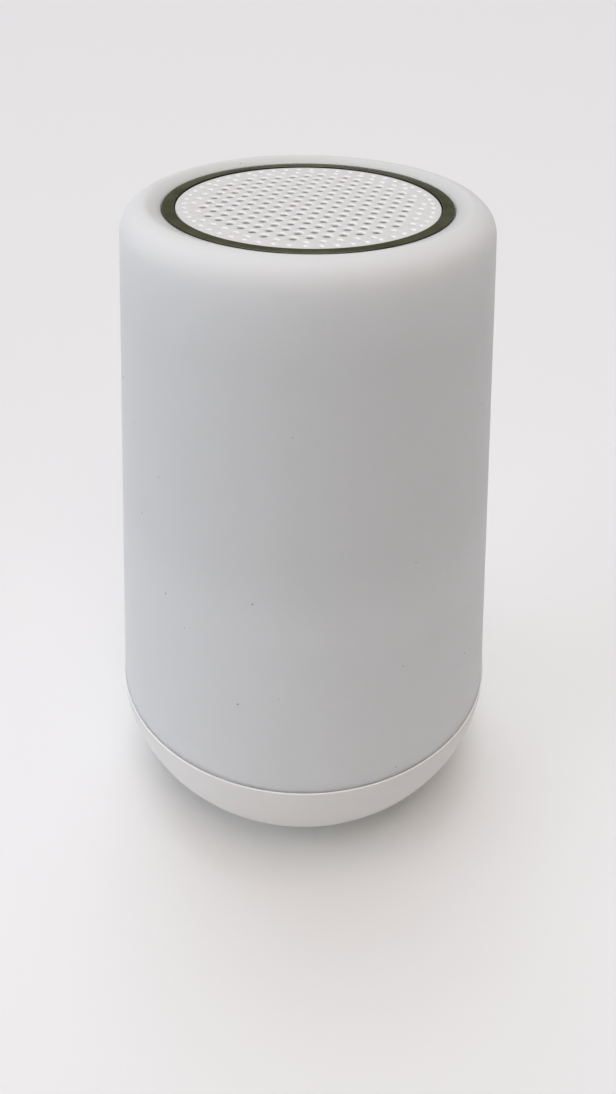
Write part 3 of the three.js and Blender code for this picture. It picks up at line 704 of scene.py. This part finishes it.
# ---------- Outer pieces ----------
# The foot stands in a shallow step behind the lip of the base.
def diffuser():
    foot_z = SEAM_Z - LIP_H + STEP_CLEARANCE
    wall_foot_r = BASE_R - LIP_W - STEP_SLACK
    shoulder = arc(SHOULDER["r"], SHOULDER["z"], SHOULDER["a"], SHOULDER["b"], 5.5, 74, 32)
    crown = arc(CROWN["r"], CROWN["z"], CROWN["a"], CROWN["b"], 73.5, 109, 12)
    brow_z = LEDGE_Z - WALL - BROW_H
    inner_r = cone_r(brow_z) - WALL
    outline = [
        (cone_r(foot_z) - WALL, foot_z, 0.4),
        (wall_foot_r, foot_z, 0.04),
        (wall_foot_r, SEAM_Z - 0.1),
        *shoulder,
        *crown,
        (RING_R + GAP, HEIGHT - DIP, 0.15),
        (RING_R + GAP, LEDGE_Z),
        (LEDGE_R, LEDGE_Z, 0.4),
        (LEDGE_R, LEDGE_Z - WALL, 0.6),
        *arc(BROW_R, brow_z, inner_r - BROW_R, BROW_H, 90, 0, 12),
    ]
    piece = turned("opal_diffuser", outline, 192)
    stands_for(piece, "diffuser_shell", "diffuser")


def touch_ring():
    outline = [
        (RING_BORE, RING_FOOT_Z, 0.2),
        (RING_R, RING_FOOT_Z, 0.2),
        (RING_R, FACE_Z, 0.15),
        (RING_BORE, FACE_Z, 0.15),
    ]
    stands_for(turned("metal_touch_ring", outline, 192), "touch_ring", "ring_metal")


# Staggered rows: neighbours stand one pitch apart, at the corners of equal triangles.
def hole_centres(reach):
    steps = int(reach / HOLE_PITCH) + 2
    turn = Matrix.Rotation(math.radians(HOLE_TURN), 2)
    for i in range(-2 * steps, 2 * steps + 1):
        for j in range(-steps, steps + 1):
            row = Vector((HOLE_PITCH * (i + j / 2), HOLE_PITCH * j * math.sin(math.radians(60))))
            centre = turn @ row
            if centre.length <= reach:
                yield centre


# Through holes in the middle and blind ones round them, in one plate with a spigot under it.
def grille():
    through = []
    blind = []
    for centre in hole_centres(RIM_CIRCLE - 1.3):
        if centre.length <= HOLE_FIELD_R:
            through.append(circle(centre.x, centre.y, HOLE_THROAT, 20))
        else:
            blind.append((circle(centre.x, centre.y, BLIND_R, 20), BLIND_DEPTH))
    for _, x, y in around(RIM_HOLES, RIM_CIRCLE, 2):
        blind.append((circle(x, y, RIM_HOLE_R, 16), BLIND_DEPTH))
    plate_z = GRILLE_Z - GRILLE_PLATE
    rim = circle(0, 0, GRILLE_R, 192)
    ends = (plate_z, GRILLE_Z)
    piece = plate("perforated_grille", rim, through, *ends, 0.2, blind, steps=5, mouth=HOLE_FLARE)
    spigot = [
        (SPIGOT_BORE, low("speaker_grille").z, 0.2),
        (SPIGOT_R, low("speaker_grille").z, 0.2),
        (SPIGOT_R, RING_FOOT_Z),
        (GRILLE_R, RING_FOOT_Z, 0.2),
        (GRILLE_R, plate_z + 0.01),
        (SPIGOT_BORE, plate_z + 0.01),
    ]
    skirt = turned("grille_spigot", spigot, 192)
    stands_for(piece, "speaker_grille", "grille_plastic")
    extra(skirt, "grille_plastic")


def bowl_outline(steps):
    low_angle = math.degrees(math.asin((BASE_CENTRE_Z - FLOOR_Z) / BASE_ARC))
    return arc(BASE_CENTRE_R, BASE_CENTRE_Z, BASE_ARC, BASE_ARC, -low_angle, 0, steps)


# Plates drawn for the rear panel: x runs to the right for someone who faces it, y up it and z out of it.
PANEL = (
    Matrix.Translation((0, PANEL_Y, PANEL_Z))
    @ Matrix.Rotation(math.radians(-PANEL_TILT), 4, "X")
    @ Matrix(((-1, 0, 0, 0), (0, 0, 1, 0), (0, 1, 0, 0), (0, 0, 0, 1)))
)


def on_panel(x, y, z=0):
    return PANEL @ Matrix.Translation((x, y, z))


# A bowl with a lip and two ledges. At the rear a frame stands inside its wall, round the recess for the
# panel and the window through which the panel's parts reach the inside.
def base():
    inner_arc = BASE_ARC - WALL
    ledge_z = COVER_TOP + GAP
    bore_z = ledge_z + 1.8
    low_angle = math.degrees(math.asin((BASE_CENTRE_Z - bore_z) / inner_arc))
    deck_ledge_z = SEAM_Z - 2.7
    outline = [
        (COVER_R + GAP, FLOOR_Z, 0.25),
        *bowl_outline(60),
        (BASE_R - 0.03, SEAM_Z, 0.25),
        (BASE_R - LIP_W, SEAM_Z, 0.05),
        (BASE_R - LIP_W, SEAM_Z - LIP_H),
        (DECK_LEDGE_R, SEAM_Z - LIP_H),
        (DECK_LEDGE_R, deck_ledge_z),
        (DECK_RIM_R, deck_ledge_z),
        (DECK_RIM_R, deck_ledge_z - 1.7),
        *arc(BASE_CENTRE_R, BASE_CENTRE_Z, inner_arc, inner_arc, -7, -low_angle, 24),
        (COVER_SEAT_R, bore_z),
        (COVER_SEAT_R, ledge_z),
        (COVER_R + GAP, ledge_z),
    ]
    bowl = turned("bowl_base", outline, 192)
    backing = turned("backing", [(0, FLOOR_Z), *bowl_outline(60), (0, BASE_CENTRE_Z)], 192)
    frame_outline = rectangle(0, 0, PANEL_W + 4, PANEL_H + 3, 3)
    frame_block = plate("frame_block", frame_outline, [], -3.7, 14, 0, matrix=PANEL)
    combine(backing, [frame_block], "INTERSECT")
    recess_outline = rectangle(0, 0, PANEL_W, PANEL_H, PANEL_CORNER)
    recess = plate("recess", recess_outline, [], -PANEL_T - GAP, 20, 0, matrix=PANEL)
    window_outline = rectangle(0, 0, PANEL_W - 3, PANEL_H - 2.4, 1.6)
    window = plate("window", window_outline, [], -6, 5, 0, matrix=PANEL)
    combine(bowl, [backing], "UNION")
    combine(bowl, [recess, window])
    smooth_bowl(bowl)
    stands_for(bowl, "base_shell", "base_plastic")


# Points on the bowl's outside take the true normal of its arc, so the recess doesn't ripple the gloss.
def smooth_bowl(bowl):
    mesh = bowl.data
    normals = [Vector(n.vector) for n in mesh.corner_normals]
    for loop in range(len(mesh.loops)):
        point = mesh.vertices[mesh.loops[loop].vertex_index].co / MM
        flat = Vector((point.x, point.y, 0))
        spoke = point - flat.normalized() * BASE_CENTRE_R - Vector((0, 0, BASE_CENTRE_Z))
        on_arc = abs(spoke.length - BASE_ARC) < 0.02 and point.z < BASE_CENTRE_Z
        if on_arc and normals[loop].dot(spoke.normalized()) > 0.9:
            normals[loop] = spoke.normalized()
    mesh.normals_split_custom_set(normals)


def rear_panel():
    holes = [circle(-x, KEY_ROW, KEY_R + GAP, 48) for x in KEY_X.values()]
    holes.append(rectangle(-USB_X, PORT_ROW, 9.6, 3.8, 1.8))
    holes.append(rectangle(-SWITCH_X, PORT_ROW, 8.2, 3.2, 0.6))
    holes.append(circle(-AUX_X, PORT_ROW, 2.9, 48))
    holes.append(circle(-LENS_X, PORT_ROW, 1.2, 24))
    outline = rectangle(0, 0, PANEL_W - 2 * GAP, PANEL_H - 2 * GAP, PANEL_CORNER - GAP)
    piece = plate("socket_panel", outline, holes, -PANEL_T, 0, 0.25, matrix=PANEL)
    stands_for(piece, "rear_panel", "panel_plastic")


# ---------- Rear controls ----------
# Closed flat shapes, a little proud of the face under them, as pad-printed marks are.
def marks(name, loops, z0, z1, matrix):
    bm = bmesh.new()
    for loop in loops:
        lower = ring_of(bm, loop, z0)
        upper = ring_of(bm, loop, z1)
        bridge(bm, lower, upper)
        bm.faces.new(lower)
        bm.faces.new(upper)
    return new_object(name, bm, matrix)


def bar(x, y, length, width, angle=0.0):
    turn = Matrix.Rotation(math.radians(angle), 2)
    corners = ((-1, -1), (1, -1), (1, 1), (-1, 1))
    points = [Vector((u * length / 2, v * width / 2)) for u, v in corners]
    return [tuple(turn @ p + Vector((x, y))) for p in points]


def plus_mark():
    half_width = 0.19
    reach = 1.15
    quarter = [(half_width, half_width), (half_width, reach), (-half_width, reach)]
    points = []
    for k in range(4):
        turn = Matrix.Rotation(math.pi / 2 * k, 2)
        points += [tuple(turn @ Vector(p)) for p in quarter]
    return [points]


def play_mark():
    return [[(-0.55, -1.0), (1.15, 0), (-0.55, 1.0)]]


def light_mark():
    rays = [bar(x, y, 0.55, 0.26, 45 * i) for i, x, y in around(8, 1.35, 0)]
    return [circle(0, 0, 0.62, 24)(), *rays]


MARKS = {
    "light_button": light_mark(),
    "volume_up_button": plus_mark(),
    "play_button": play_mark(),
    "volume_down_button": [bar(0, 0, 2.3, 0.38)],
}


# Each button is a cap with a shallow dish, held behind the panel by its flange, and a stem below.
def buttons():
    outline = [
        (0, -5.2),
        (1.4, -5.2, 0.2),
        (1.4, -3.5),
        (KEY_R + 0.5, -3.5, 0.1),
        (KEY_R + 0.5, -PANEL_T - GAP, 0.1),
        (KEY_R, -PANEL_T - GAP),
        (KEY_R, 1.2, 0.45),
        (KEY_R - 0.9, 1.2, 0.6),
        (KEY_R - 1.5, 1.02, 0.6),
        (0, 1.0),
    ]
    for name, x in KEY_X.items():
        matrix = on_panel(-x, KEY_ROW)
        stands_for(turned(name + "_cap", outline, 64, matrix), name, "key_plastic")
        mark = marks(name + "_mark", MARKS[name], 0.9, 1.06, matrix)
        mark.data.materials.append(FINISH["print"])
        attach(mark, name)


def power_switch():
    low_x = low("power_switch").x
    travel_centre = -(low_x + high("power_switch").x) / 2
    matrix = on_panel(travel_centre, PORT_ROW)
    knob = plate("switch_knob", rectangle(0, 0, 4, 2.6, 0.4), [], -3, 0.9, 0.2, matrix=matrix)
    foot = plate("foot", rectangle(0, 0, 5.2, 4.2, 0.3), [], -3.2, -PANEL_T - GAP, 0.1, matrix=matrix)
    grooves = []
    for x in (-1.1, -0.37, 0.37, 1.1):
        groove = rectangle(x, 0, 0.35, 2.2, 0.15)
        grooves.append(plate("groove", groove, [], 0.55, 1.5, 0, matrix=matrix))
    combine(knob, [foot], "UNION")
    combine(knob, grooves)
    stands_for(knob, "power_switch", "black_plastic")


def usb_port():
    matrix = on_panel(-USB_X, PORT_ROW)
    mouth = (rectangle(0, 0, 8.3, 2.5, 1.2), 7.3)
    shell = plate("charge_socket", rectangle(0, 0, 9, 3.2, 1.5), [], -8.7, -0.2, 0.12, [mouth], matrix)
    tongue = plate("tongue", rectangle(0, 0, 6.7, 0.7, 0.3), [], -8, -1, 0.1, matrix=matrix)
    combine(shell, [tongue], "UNION")
    stands_for(shell, "usb_c_port", "port_steel")


def aux_jack():
    matrix = on_panel(-AUX_X, PORT_ROW)
    bore = (circle(0, 0, 1.75, 40), 7.5)
    barrel = plate("audio_socket", circle(0, 0, 2.6, 48), [], -8.5, -0.1, 0.2, [bore], matrix)
    passage = circle(0, 0, 2, 40)
    body = plate("body", rectangle(0, 0, 6.6, 6, 0.4), [passage], -8.7, -3, 0.2, matrix=matrix)
    combine(barrel, [body], "UNION")
    stands_for(barrel, "aux_jack", "black_plastic")


def status_lens():
    outline = [(0, -8.7), (0.9, -8.7, 0.1), (0.9, 0, 0.15), (0.5, 0.13), (0, 0.15)]
    piece = turned("light_pipe", outline, 32, on_panel(-LENS_X, PORT_ROW))
    stands_for(piece, "status_lens", "lens")


# ---------- Underside ----------
UPSIDE_DOWN = Matrix.Rotation(math.pi, 4, "X")


def bottom_cover():
    pockets = []
    for _, x, y in around(4, FOOT_CIRCLE, 0):
        pockets.append((circle(x, -y, FOOT_R + GAP, 64), FOOT_SINK))
    holes = [circle(x, -y, SCREW_HOLE_R, 32) for _, x, y in around(4, SCREW_CIRCLE, SCREW_START)]
    outline = circle(0, 0, COVER_R, 160)
    piece = plate("underside_cover", outline, holes, -COVER_TOP, -FLOOR_Z, 0.25, pockets, UPSIDE_DOWN)
    sink_top = FLOOR_Z + COUNTERBORE
    sink = [(0, -1), (COUNTERBORE_R, -1), (COUNTERBORE_R, sink_top), (0, sink_top)]
    sinks = []
    for _, x, y in around(4, SCREW_CIRCLE, SCREW_START):
        sinks.append(turned("sink", sink, 40, Matrix.Translation((x, y, 0))))
    combine(piece, sinks)
    stands_for(piece, "bottom_cover", "base_plastic")


# Each foot has two shallow grip grooves round its underside.
def feet():
    top = FLOOR_Z + FOOT_SINK - GAP
    outline = [(0, 0)]
    for r in FOOT_GROOVES:
        outline += [(r - 0.3, 0, 0.1), (r - 0.15, 0.25, 0.1), (r + 0.15, 0.25, 0.1), (r + 0.3, 0, 0.1)]
    outline += [(FOOT_R, 0, 0.45), (FOOT_R, top, 0.1), (0, top)]
    for i, x, y in around(4, FOOT_CIRCLE, 0):
        piece = turned(f"rubber_foot_{i + 1}", outline, 64, Matrix.Translation((x, y, 0)))
        stands_for(piece, f"foot_{i + 1}", "foot_rubber")


# A pan-head screw with a cross recess. Its head lies above z = 0 and its shank below.
def screw(name, node_name, head_r, head_h, shank_r, length, matrix):
    outline = [
        (0, -length),
        (shank_r * 0.5, -length),
        (shank_r, -length + 0.6),
        (shank_r, 0),
        (head_r, 0, 0.1),
        (head_r, head_h * 0.75, head_h * 0.45),
        (head_r * 0.45, head_h, 0.4),
        (0, head_h),
    ]
    piece = turned(name, outline, 40, matrix)
    slots = []
    for width, height in ((head_r * 1.15, head_r * 0.28), (head_r * 0.28, head_r * 1.15)):
        outline = rectangle(0, 0, width, height, 0.05, 2)
        slots.append(plate("slot", outline, [], head_h * 0.35, head_h + 1, 0, matrix=matrix))
    combine(piece, slots)
    stands_for(piece, node_name, "screw_steel")


def screws():
    for i, x, y in around(4, SCREW_CIRCLE, SCREW_START):
        seat = Matrix.Translation((x, y, FLOOR_Z + COUNTERBORE - GAP)) @ UPSIDE_DOWN
        screw(f"cover_screw_{i + 1}", f"bottom_screw_{i + 1}", 2.3, 0.9, 1.2, 8, seat)
    for i, x, y in around(3, FLANGE_CIRCLE, 90):
        seat = Matrix.Translation((x, y, low(f"column_screw_{i + 1}").z + INNER_SCREW))
        screw(f"flange_screw_{i + 1}", f"column_screw_{i + 1}", 2.1, 1.3, 1.2, INNER_SCREW, seat)
    for i, x, y in around(4, DRIVER_CIRCLE, 45):
        seat = Matrix.Translation((x, y, low(f"driver_screw_{i + 1}").z + INNER_SCREW))
        screw(f"basket_screw_{i + 1}", f"driver_screw_{i + 1}", 1.7, 1, 0.95, INNER_SCREW, seat)


# ---------- Driver ----------
BASKET_FOOT = low("driver_basket").z
BASKET_TOP = high("driver_basket").z
CONE_TOP = high("speaker_cone").z
NECK_Z = low("speaker_cone").z
CONE_R = high("speaker_cone").x
COIL_R = high("voice_coil").x
TOP_PLATE_R = 19
MAGNET_R = 21
YOKE_R = 19.5
ROLL_R = 21.4  # middle of the surround's roll, and the roll's inner and outer radius
ROLL_IN = 1.2
ROLL_OUT = 1.8
ROLL_Z = BASKET_TOP + 0.3
SPIDER_R = 18.1
SPIDER_T = 0.42
CONE_T = 0.75
CONE_BOW = 0.495
CAP_R = 8.8
CAP_H = 3.2
CAP_T = 0.6
COIL_TURNS = 12
COIL_WOUND_H = 6
WIRE_R = 0.06


def motor():
    plate_z = low("magnet_top_plate").z
    top_plate = [
        (COIL_R + 0.6, plate_z, 0.2),
        (TOP_PLATE_R, plate_z, 0.2),
        (TOP_PLATE_R, BASKET_FOOT - GAP, 0.4),
        (COIL_R + 0.6, BASKET_FOOT - GAP, 0.2),
    ]
    stands_for(turned("motor_top_plate", top_plate, 96), "magnet_top_plate", "screw_steel")
    magnet_z = low("driver_magnet").z
    magnet = [
        (11, magnet_z, 0.4),
        (MAGNET_R, magnet_z, 0.6),
        (MAGNET_R, plate_z - GAP, 0.6),
        (11, plate_z - GAP, 0.4),
    ]
    stands_for(turned("motor_magnet", magnet, 96), "driver_magnet", "ferrite")
    yoke_z = low("magnet_yoke").z
    pole_r = COIL_R - 1.1
    yoke = [
        (0, yoke_z + 0.6),
        (4, yoke_z + 0.6, 0.3),
        (4.6, yoke_z, 0.3),
        (YOKE_R, yoke_z, 0.9),
        (YOKE_R, magnet_z - GAP, 0.2),
        (pole_r, magnet_z - GAP),
        (pole_r, BASKET_FOOT - GAP, 0.5),
        (0, BASKET_FOOT - GAP),
    ]
    stands_for(turned("motor_yoke", yoke, 96), "magnet_yoke", "screw_steel")


# Slightly curved, as pressed paper is.
def cone():
    steps = 14
    upper, lower = [], []
    for i in range(steps + 1):
        t = i / steps
        bow = CONE_BOW * math.sin(math.pi * t)
        r = COIL_R + 1.3 + (CONE_R - COIL_R - 1.3) * t
        z = NECK_Z + (CONE_TOP - 0.8 - NECK_Z) * t
        lower.append((r, z - bow))
        upper.append((r - 1 + 0.15 * t, z + CONE_T - bow))
    outline = [
        (COIL_R + GAP, NECK_Z + 0.1),
        (COIL_R + 1.3, NECK_Z),
        *lower[1:],
        (CONE_R, CONE_TOP),
        (CONE_R - 1, CONE_TOP),
        *upper[-2:0:-1],
        (COIL_R + GAP, NECK_Z + 0.9),
    ]
    stands_for(turned("paper_cone", outline, 96, sharp=50), "speaker_cone", "cone_paper")


def dust_cap():
    rim_z = low("dust_cap").z
    inner_h = CAP_H - CAP_T
    outline = [
        (0, rim_z + inner_h),
        *arc(0, rim_z, CAP_R - CAP_T, inner_h, 88, 0, 16),
        *arc(0, rim_z, CAP_R, CAP_H, 0, 88, 16),
        (0, rim_z + CAP_H),
    ]
    stands_for(turned("domed_cap", outline, 96, sharp=60), "dust_cap", "cone_paper")


# The former, with the turns of wire round its lower part.
def voice_coil():
    coil_z = low("voice_coil").z
    steps = COIL_TURNS * 4
    wound = []
    for i in range(steps + 1):
        r = COIL_R - WIRE_R + WIRE_R * math.cos(math.pi / 2 * i)
        wound.append((r, coil_z + 0.2 + COIL_WOUND_H * i / steps))
    outline = [
        (COIL_R - 0.6, coil_z),
        (COIL_R - 0.1, coil_z),
        *wound,
        (COIL_R - 0.2, coil_z + 6.4),
        (COIL_R - 0.2, high("voice_coil").z),
        (COIL_R - 0.6, high("voice_coil").z),
    ]
    stands_for(turned("wound_coil", outline, 96, sharp=60), "voice_coil", "coil_copper")


# A piece that bends between the housing, where it is clamped, and the cone. Here it takes its finish, its
# placing is baked into its mesh and the CAD node is hidden; it rides on no body.
def flexible(piece, node_name, finish):
    piece.data.materials.append(FINISH[finish])
    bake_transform(piece)
    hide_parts(node_name)


# One half roll of rubber between two flanges.
def surround():
    flange_z = CONE_TOP + GAP
    flange_t = ROLL_OUT - ROLL_IN
    outline = [
        (18.8, flange_z, 0.15),
        (ROLL_R - ROLL_IN, flange_z),
        *arc(ROLL_R, ROLL_Z, ROLL_IN, ROLL_IN, 180, 0, 16),
        (24.2, ROLL_Z, 0.1),
        (24.2, ROLL_Z + flange_t, 0.2),
        *arc(ROLL_R, ROLL_Z, ROLL_OUT, ROLL_OUT, 19, 161, 20),
        (ROLL_R - ROLL_OUT, flange_z + flange_t),
        (18.8, flange_z + flange_t, 0.15),
    ]
    piece = turned("rubber_surround", outline, 96, sharp=60)
    flexible(piece, "surround", "foot_rubber")


# Treated cloth in waves, flat at both edges, which rises from the coil to its clamped edge.
def spider():
    foot_z = low("spider").z
    inner_r = COIL_R + 0.4
    upper, lower = [], []
    steps = 60
    for i in range(steps + 1):
        t = i / steps
        r = inner_r + (SPIDER_R - inner_r) * t
        rise = min(1, t / 0.85) * 1.8
        wave = 0.5 * math.sin(math.pi * 4.5 * t) * min(1, 8 * t, 8 * (1 - t))
        lower.append((r, foot_z + rise + wave))
        upper.append((r, foot_z + rise + wave + SPIDER_T))
    piece = turned("corrugated_spider", lower + upper[::-1], 96, sharp=60)
    flexible(piece, "spider", "spider_cloth")


# ---------- Lamps, boards and battery ----------
# A white package with a round well, and the yellow phosphor that fills the well.
def lamps():
    outline = rectangle(0, 0, 5, 5, 0.35)
    well = (circle(0, 0, 2.05, 40), 0.35)
    for i, x, y in around(6, LAMP_CIRCLE, 30):
        facing = Matrix.Rotation(math.atan2(y, x), 4, "Z")
        seat = Matrix.Translation((x, y, low(f"led_{i + 1}").z)) @ facing
        package = plate(f"lamp_package_{i + 1}", outline, [], 0, 1.6, 0.12, [well], seat)
        stands_for(package, f"led_{i + 1}", "white_plastic")
        dome = [(0, 1.2), (2, 1.2), (2, 1.45), *arc(0, 1.45, 1.98, 0.14, 10, 88, 6), (0, 1.59)]
        phosphor = turned(f"lamp_phosphor_{i + 1}", dome, 40, seat, 50)
        extra(phosphor, "lamp")


def centre_of(node_name):
    return (low(node_name) + high(node_name)) / 2


# Small surface parts scattered over the board: each is (x, y, length, width, height), and keep_out holds
# the places that they avoid, as (x, y, reach).
def surface_parts(seed, count, keep_out):
    pick = random.Random(seed)
    parts = []
    while len(parts) < count:
        x = pick.uniform(-27, 27)
        y = pick.uniform(-19, 19)
        length, width = pick.choice(((1.6, 0.8), (0.8, 1.6), (2.0, 1.25), (3.2, 2.5)))
        taken = [(px, py, 3.0) for px, py, *_ in parts]
        if all(math.hypot(x - a, y - b) > reach for a, b, reach in keep_out + taken):
            parts.append((x, y, length, width, pick.choice((0.5, 0.8, 1.1))))
    return parts


def main_board():
    board = "main_board"
    top = high(board).z
    corners = [(x, y) for x in (-26, 26) for y in (-17, 17)]
    holes = [circle(x, y, SCREW_HOLE_R, 32) for x, y in corners]
    outline = rectangle(0, 0, 60, 42, 1.2)
    piece = plate("main_circuit_board", outline, holes, low(board).z, top, 0.08)
    stands_for(piece, board, "circuit_board")
    keep_out = [(-9, -11, 13.5), (14.5, -4.5, 7), (10, 8, 7)]
    keep_out += [(x, y, 5) for x, y in corners]
    bm = bmesh.new()
    for x, y, length, width, height in surface_parts(11, 34, keep_out):
        box_into(bm, (x, y, top + height / 2), (length, width, height))
    extra(new_object("surface_parts", bm), "black_plastic")


def box_into(bm, centre, size):
    made = bmesh.ops.create_cube(bm, size=1)["verts"]
    bmesh.ops.scale(bm, vec=size, verts=made)
    bmesh.ops.translate(bm, vec=centre, verts=made)
    edges = list(dict.fromkeys(e for v in made for e in v.link_edges))
    offset = min(size) * 0.15
    bmesh.ops.bevel(bm, geom=edges, offset=offset, segments=2, affect="EDGES", profile=0.5)


# The upright seat of a node that stands on the board.
def board_seat(node_name):
    middle = centre_of(node_name)
    return Matrix.Translation((middle.x, middle.y, low(node_name).z))


# A shield with a pressed ridge, on a board of its own.
def wireless_module():
    radio = "bluetooth_module"
    seat = board_seat(radio)
    ridge = rectangle(0, 0, 14.4, 11.4, 0.8)
    can = plate("radio_shield", rectangle(0, 0, 17.4, 13.4, 0.6), [], 0.8, 2.1, 0.25, matrix=seat)
    lid = plate("lid", ridge, [], 1.5, 2.4, 0.2, matrix=seat)
    combine(can, [lid], "UNION")
    stands_for(can, radio, "shield_can")
    carrier = plate("radio_board", rectangle(0, 0, 18, 14, 0.4), [], 0, 0.8, 0.06, matrix=seat)
    extra(carrier, "circuit_board")


# A flat package with a dot that marks its first pin, and seven pins a side.
def amplifier():
    chip = "amplifier_chip"
    seat = board_seat(chip)
    dot = (circle(-1.9, 1.9, 0.35, 20), 0.12)
    body = plate("amplifier_package", rectangle(0, 0, 5.6, 5.6, 0.15), [], 0.1, 1.2, 0.12, [dot], seat)
    stands_for(body, chip, "black_plastic")
    bm = bmesh.new()
    for i in range(7):
        offset = 0.8 * (i - 3)
        for side in (-1, 1):
            box_into(bm, (side * 3.1, offset, 0.25), (0.8, 0.35, 0.2))
            box_into(bm, (offset, side * 3.1, 0.25), (0.35, 0.8, 0.2))
    extra(new_object("amplifier_pins", bm, seat), "shield_can")


def lead_connector():
    plug = "lead_connector"
    wells = [(rectangle(x, 0.4, 1.5, 3.4, 0.2), 2.6) for x in (-2.6, 0, 2.6)]
    outline = rectangle(0, 0, 8, 6, 0.4)
    housing = plate("lead_header", outline, [], 0, 4, 0.15, wells, board_seat(plug))
    stands_for(housing, plug, "white_plastic")


# The sleeve is rolled over at both ends, and the positive end has a groove and a cap.
def battery():
    cell = "battery_cell"
    radius = high(cell).z - centre_of(cell).z
    half = high(cell).x
    lie_down = Matrix.Translation(centre_of(cell)) @ Matrix.Rotation(math.pi / 2, 4, "Y")
    outline = [
        (0, -half + 0.25),
        (radius - 1.6, -half + 0.25, 0.1),
        (radius - 1.3, -half, 0.15),
        (radius, -half, 0.6),
        (radius, half - 4.2, 0.3),
        (radius - 0.5, half - 3.8, 0.3),
        (radius - 0.5, half - 3.2, 0.3),
        (radius, half - 2.8, 0.3),
        (radius, half - 0.9, 0.5),
        (radius - 1.9, half - 0.9, 0.1),
        (radius - 2.2, half - 1.3),
        (3.4, half - 1.3),
        (3.2, half, 0.4),
        (0, half),
    ]
    stands_for(turned("battery_sleeve", outline, 96, lie_down), cell, "cell_sleeve")


# The board behind the sockets, with a tactile switch behind each button and a slide switch.
def socket_board():
    back = SWITCH_BOARD_Z - SWITCH_BOARD_T
    outline = rectangle(0, 0, 39, 16, 0.8)
    board = plate("socket_circuit_board", outline, [], back, SWITCH_BOARD_Z, 0.08, matrix=PANEL)
    stands_for(board, "io_board", "circuit_board")
    bm = bmesh.new()
    for x in KEY_X.values():
        box_into(bm, (-x, KEY_ROW, SWITCH_BOARD_Z + 1.5), (5.2, 5.2, 3))
    box_into(bm, (-SWITCH_X, -4.2, SWITCH_BOARD_Z + 2.7), (8.8, 4.0, 5.4))
    extra(new_object("switch_bodies", bm, PANEL), "black_plastic")
    stem_top = SWITCH_TOP + 0.14
    stem = [(0, SWITCH_TOP), (1.5, SWITCH_TOP), (1.5, stem_top, 0.06), (0, stem_top)]
    for name, x in KEY_X.items():
        piece = turned(name + "_switch_stem", stem, 32, on_panel(-x, KEY_ROW))
        extra(piece, "black_plastic")


# ---------- The whole scene ----------
def floor():
    mesh = bpy.data.meshes.new("floor")
    reach = 6  # metres
    corners = [(-reach, -reach, 0), (reach, -reach, 0), (reach, reach, 0), (-reach, reach, 0)]
    mesh.from_pydata(corners, [], [(0, 1, 2, 3)])
    plane = bpy.data.objects.new("floor", mesh)
    bpy.context.scene.collection.objects.link(plane)
    material, _ = principled("floor", (0.9, 0.9, 0.9), 0.7)
    mesh.materials.append(material)


# The CAD nodes whose shapes are right as they are get the same finishes.
def finish_cad_nodes():
    for name, cad in frame["nodes"].items():
        for slot in cad.material_slots:
            slot.material = FINISH[MATERIAL_SLOT[name]]


camera()
studio()
floor()
diffuser()
touch_ring()
grille()
base()
rear_panel()
buttons()
power_switch()
usb_port()
aux_jack()
status_lens()
bottom_cover()
feet()
screws()
motor()
cone()
dust_cap()
voice_coil()
surround()
spider()
lamps()
main_board()
wireless_module()
amplifier()
lead_connector()
battery()
socket_board()
finish_cad_nodes()

bpy.context.view_layer.update()
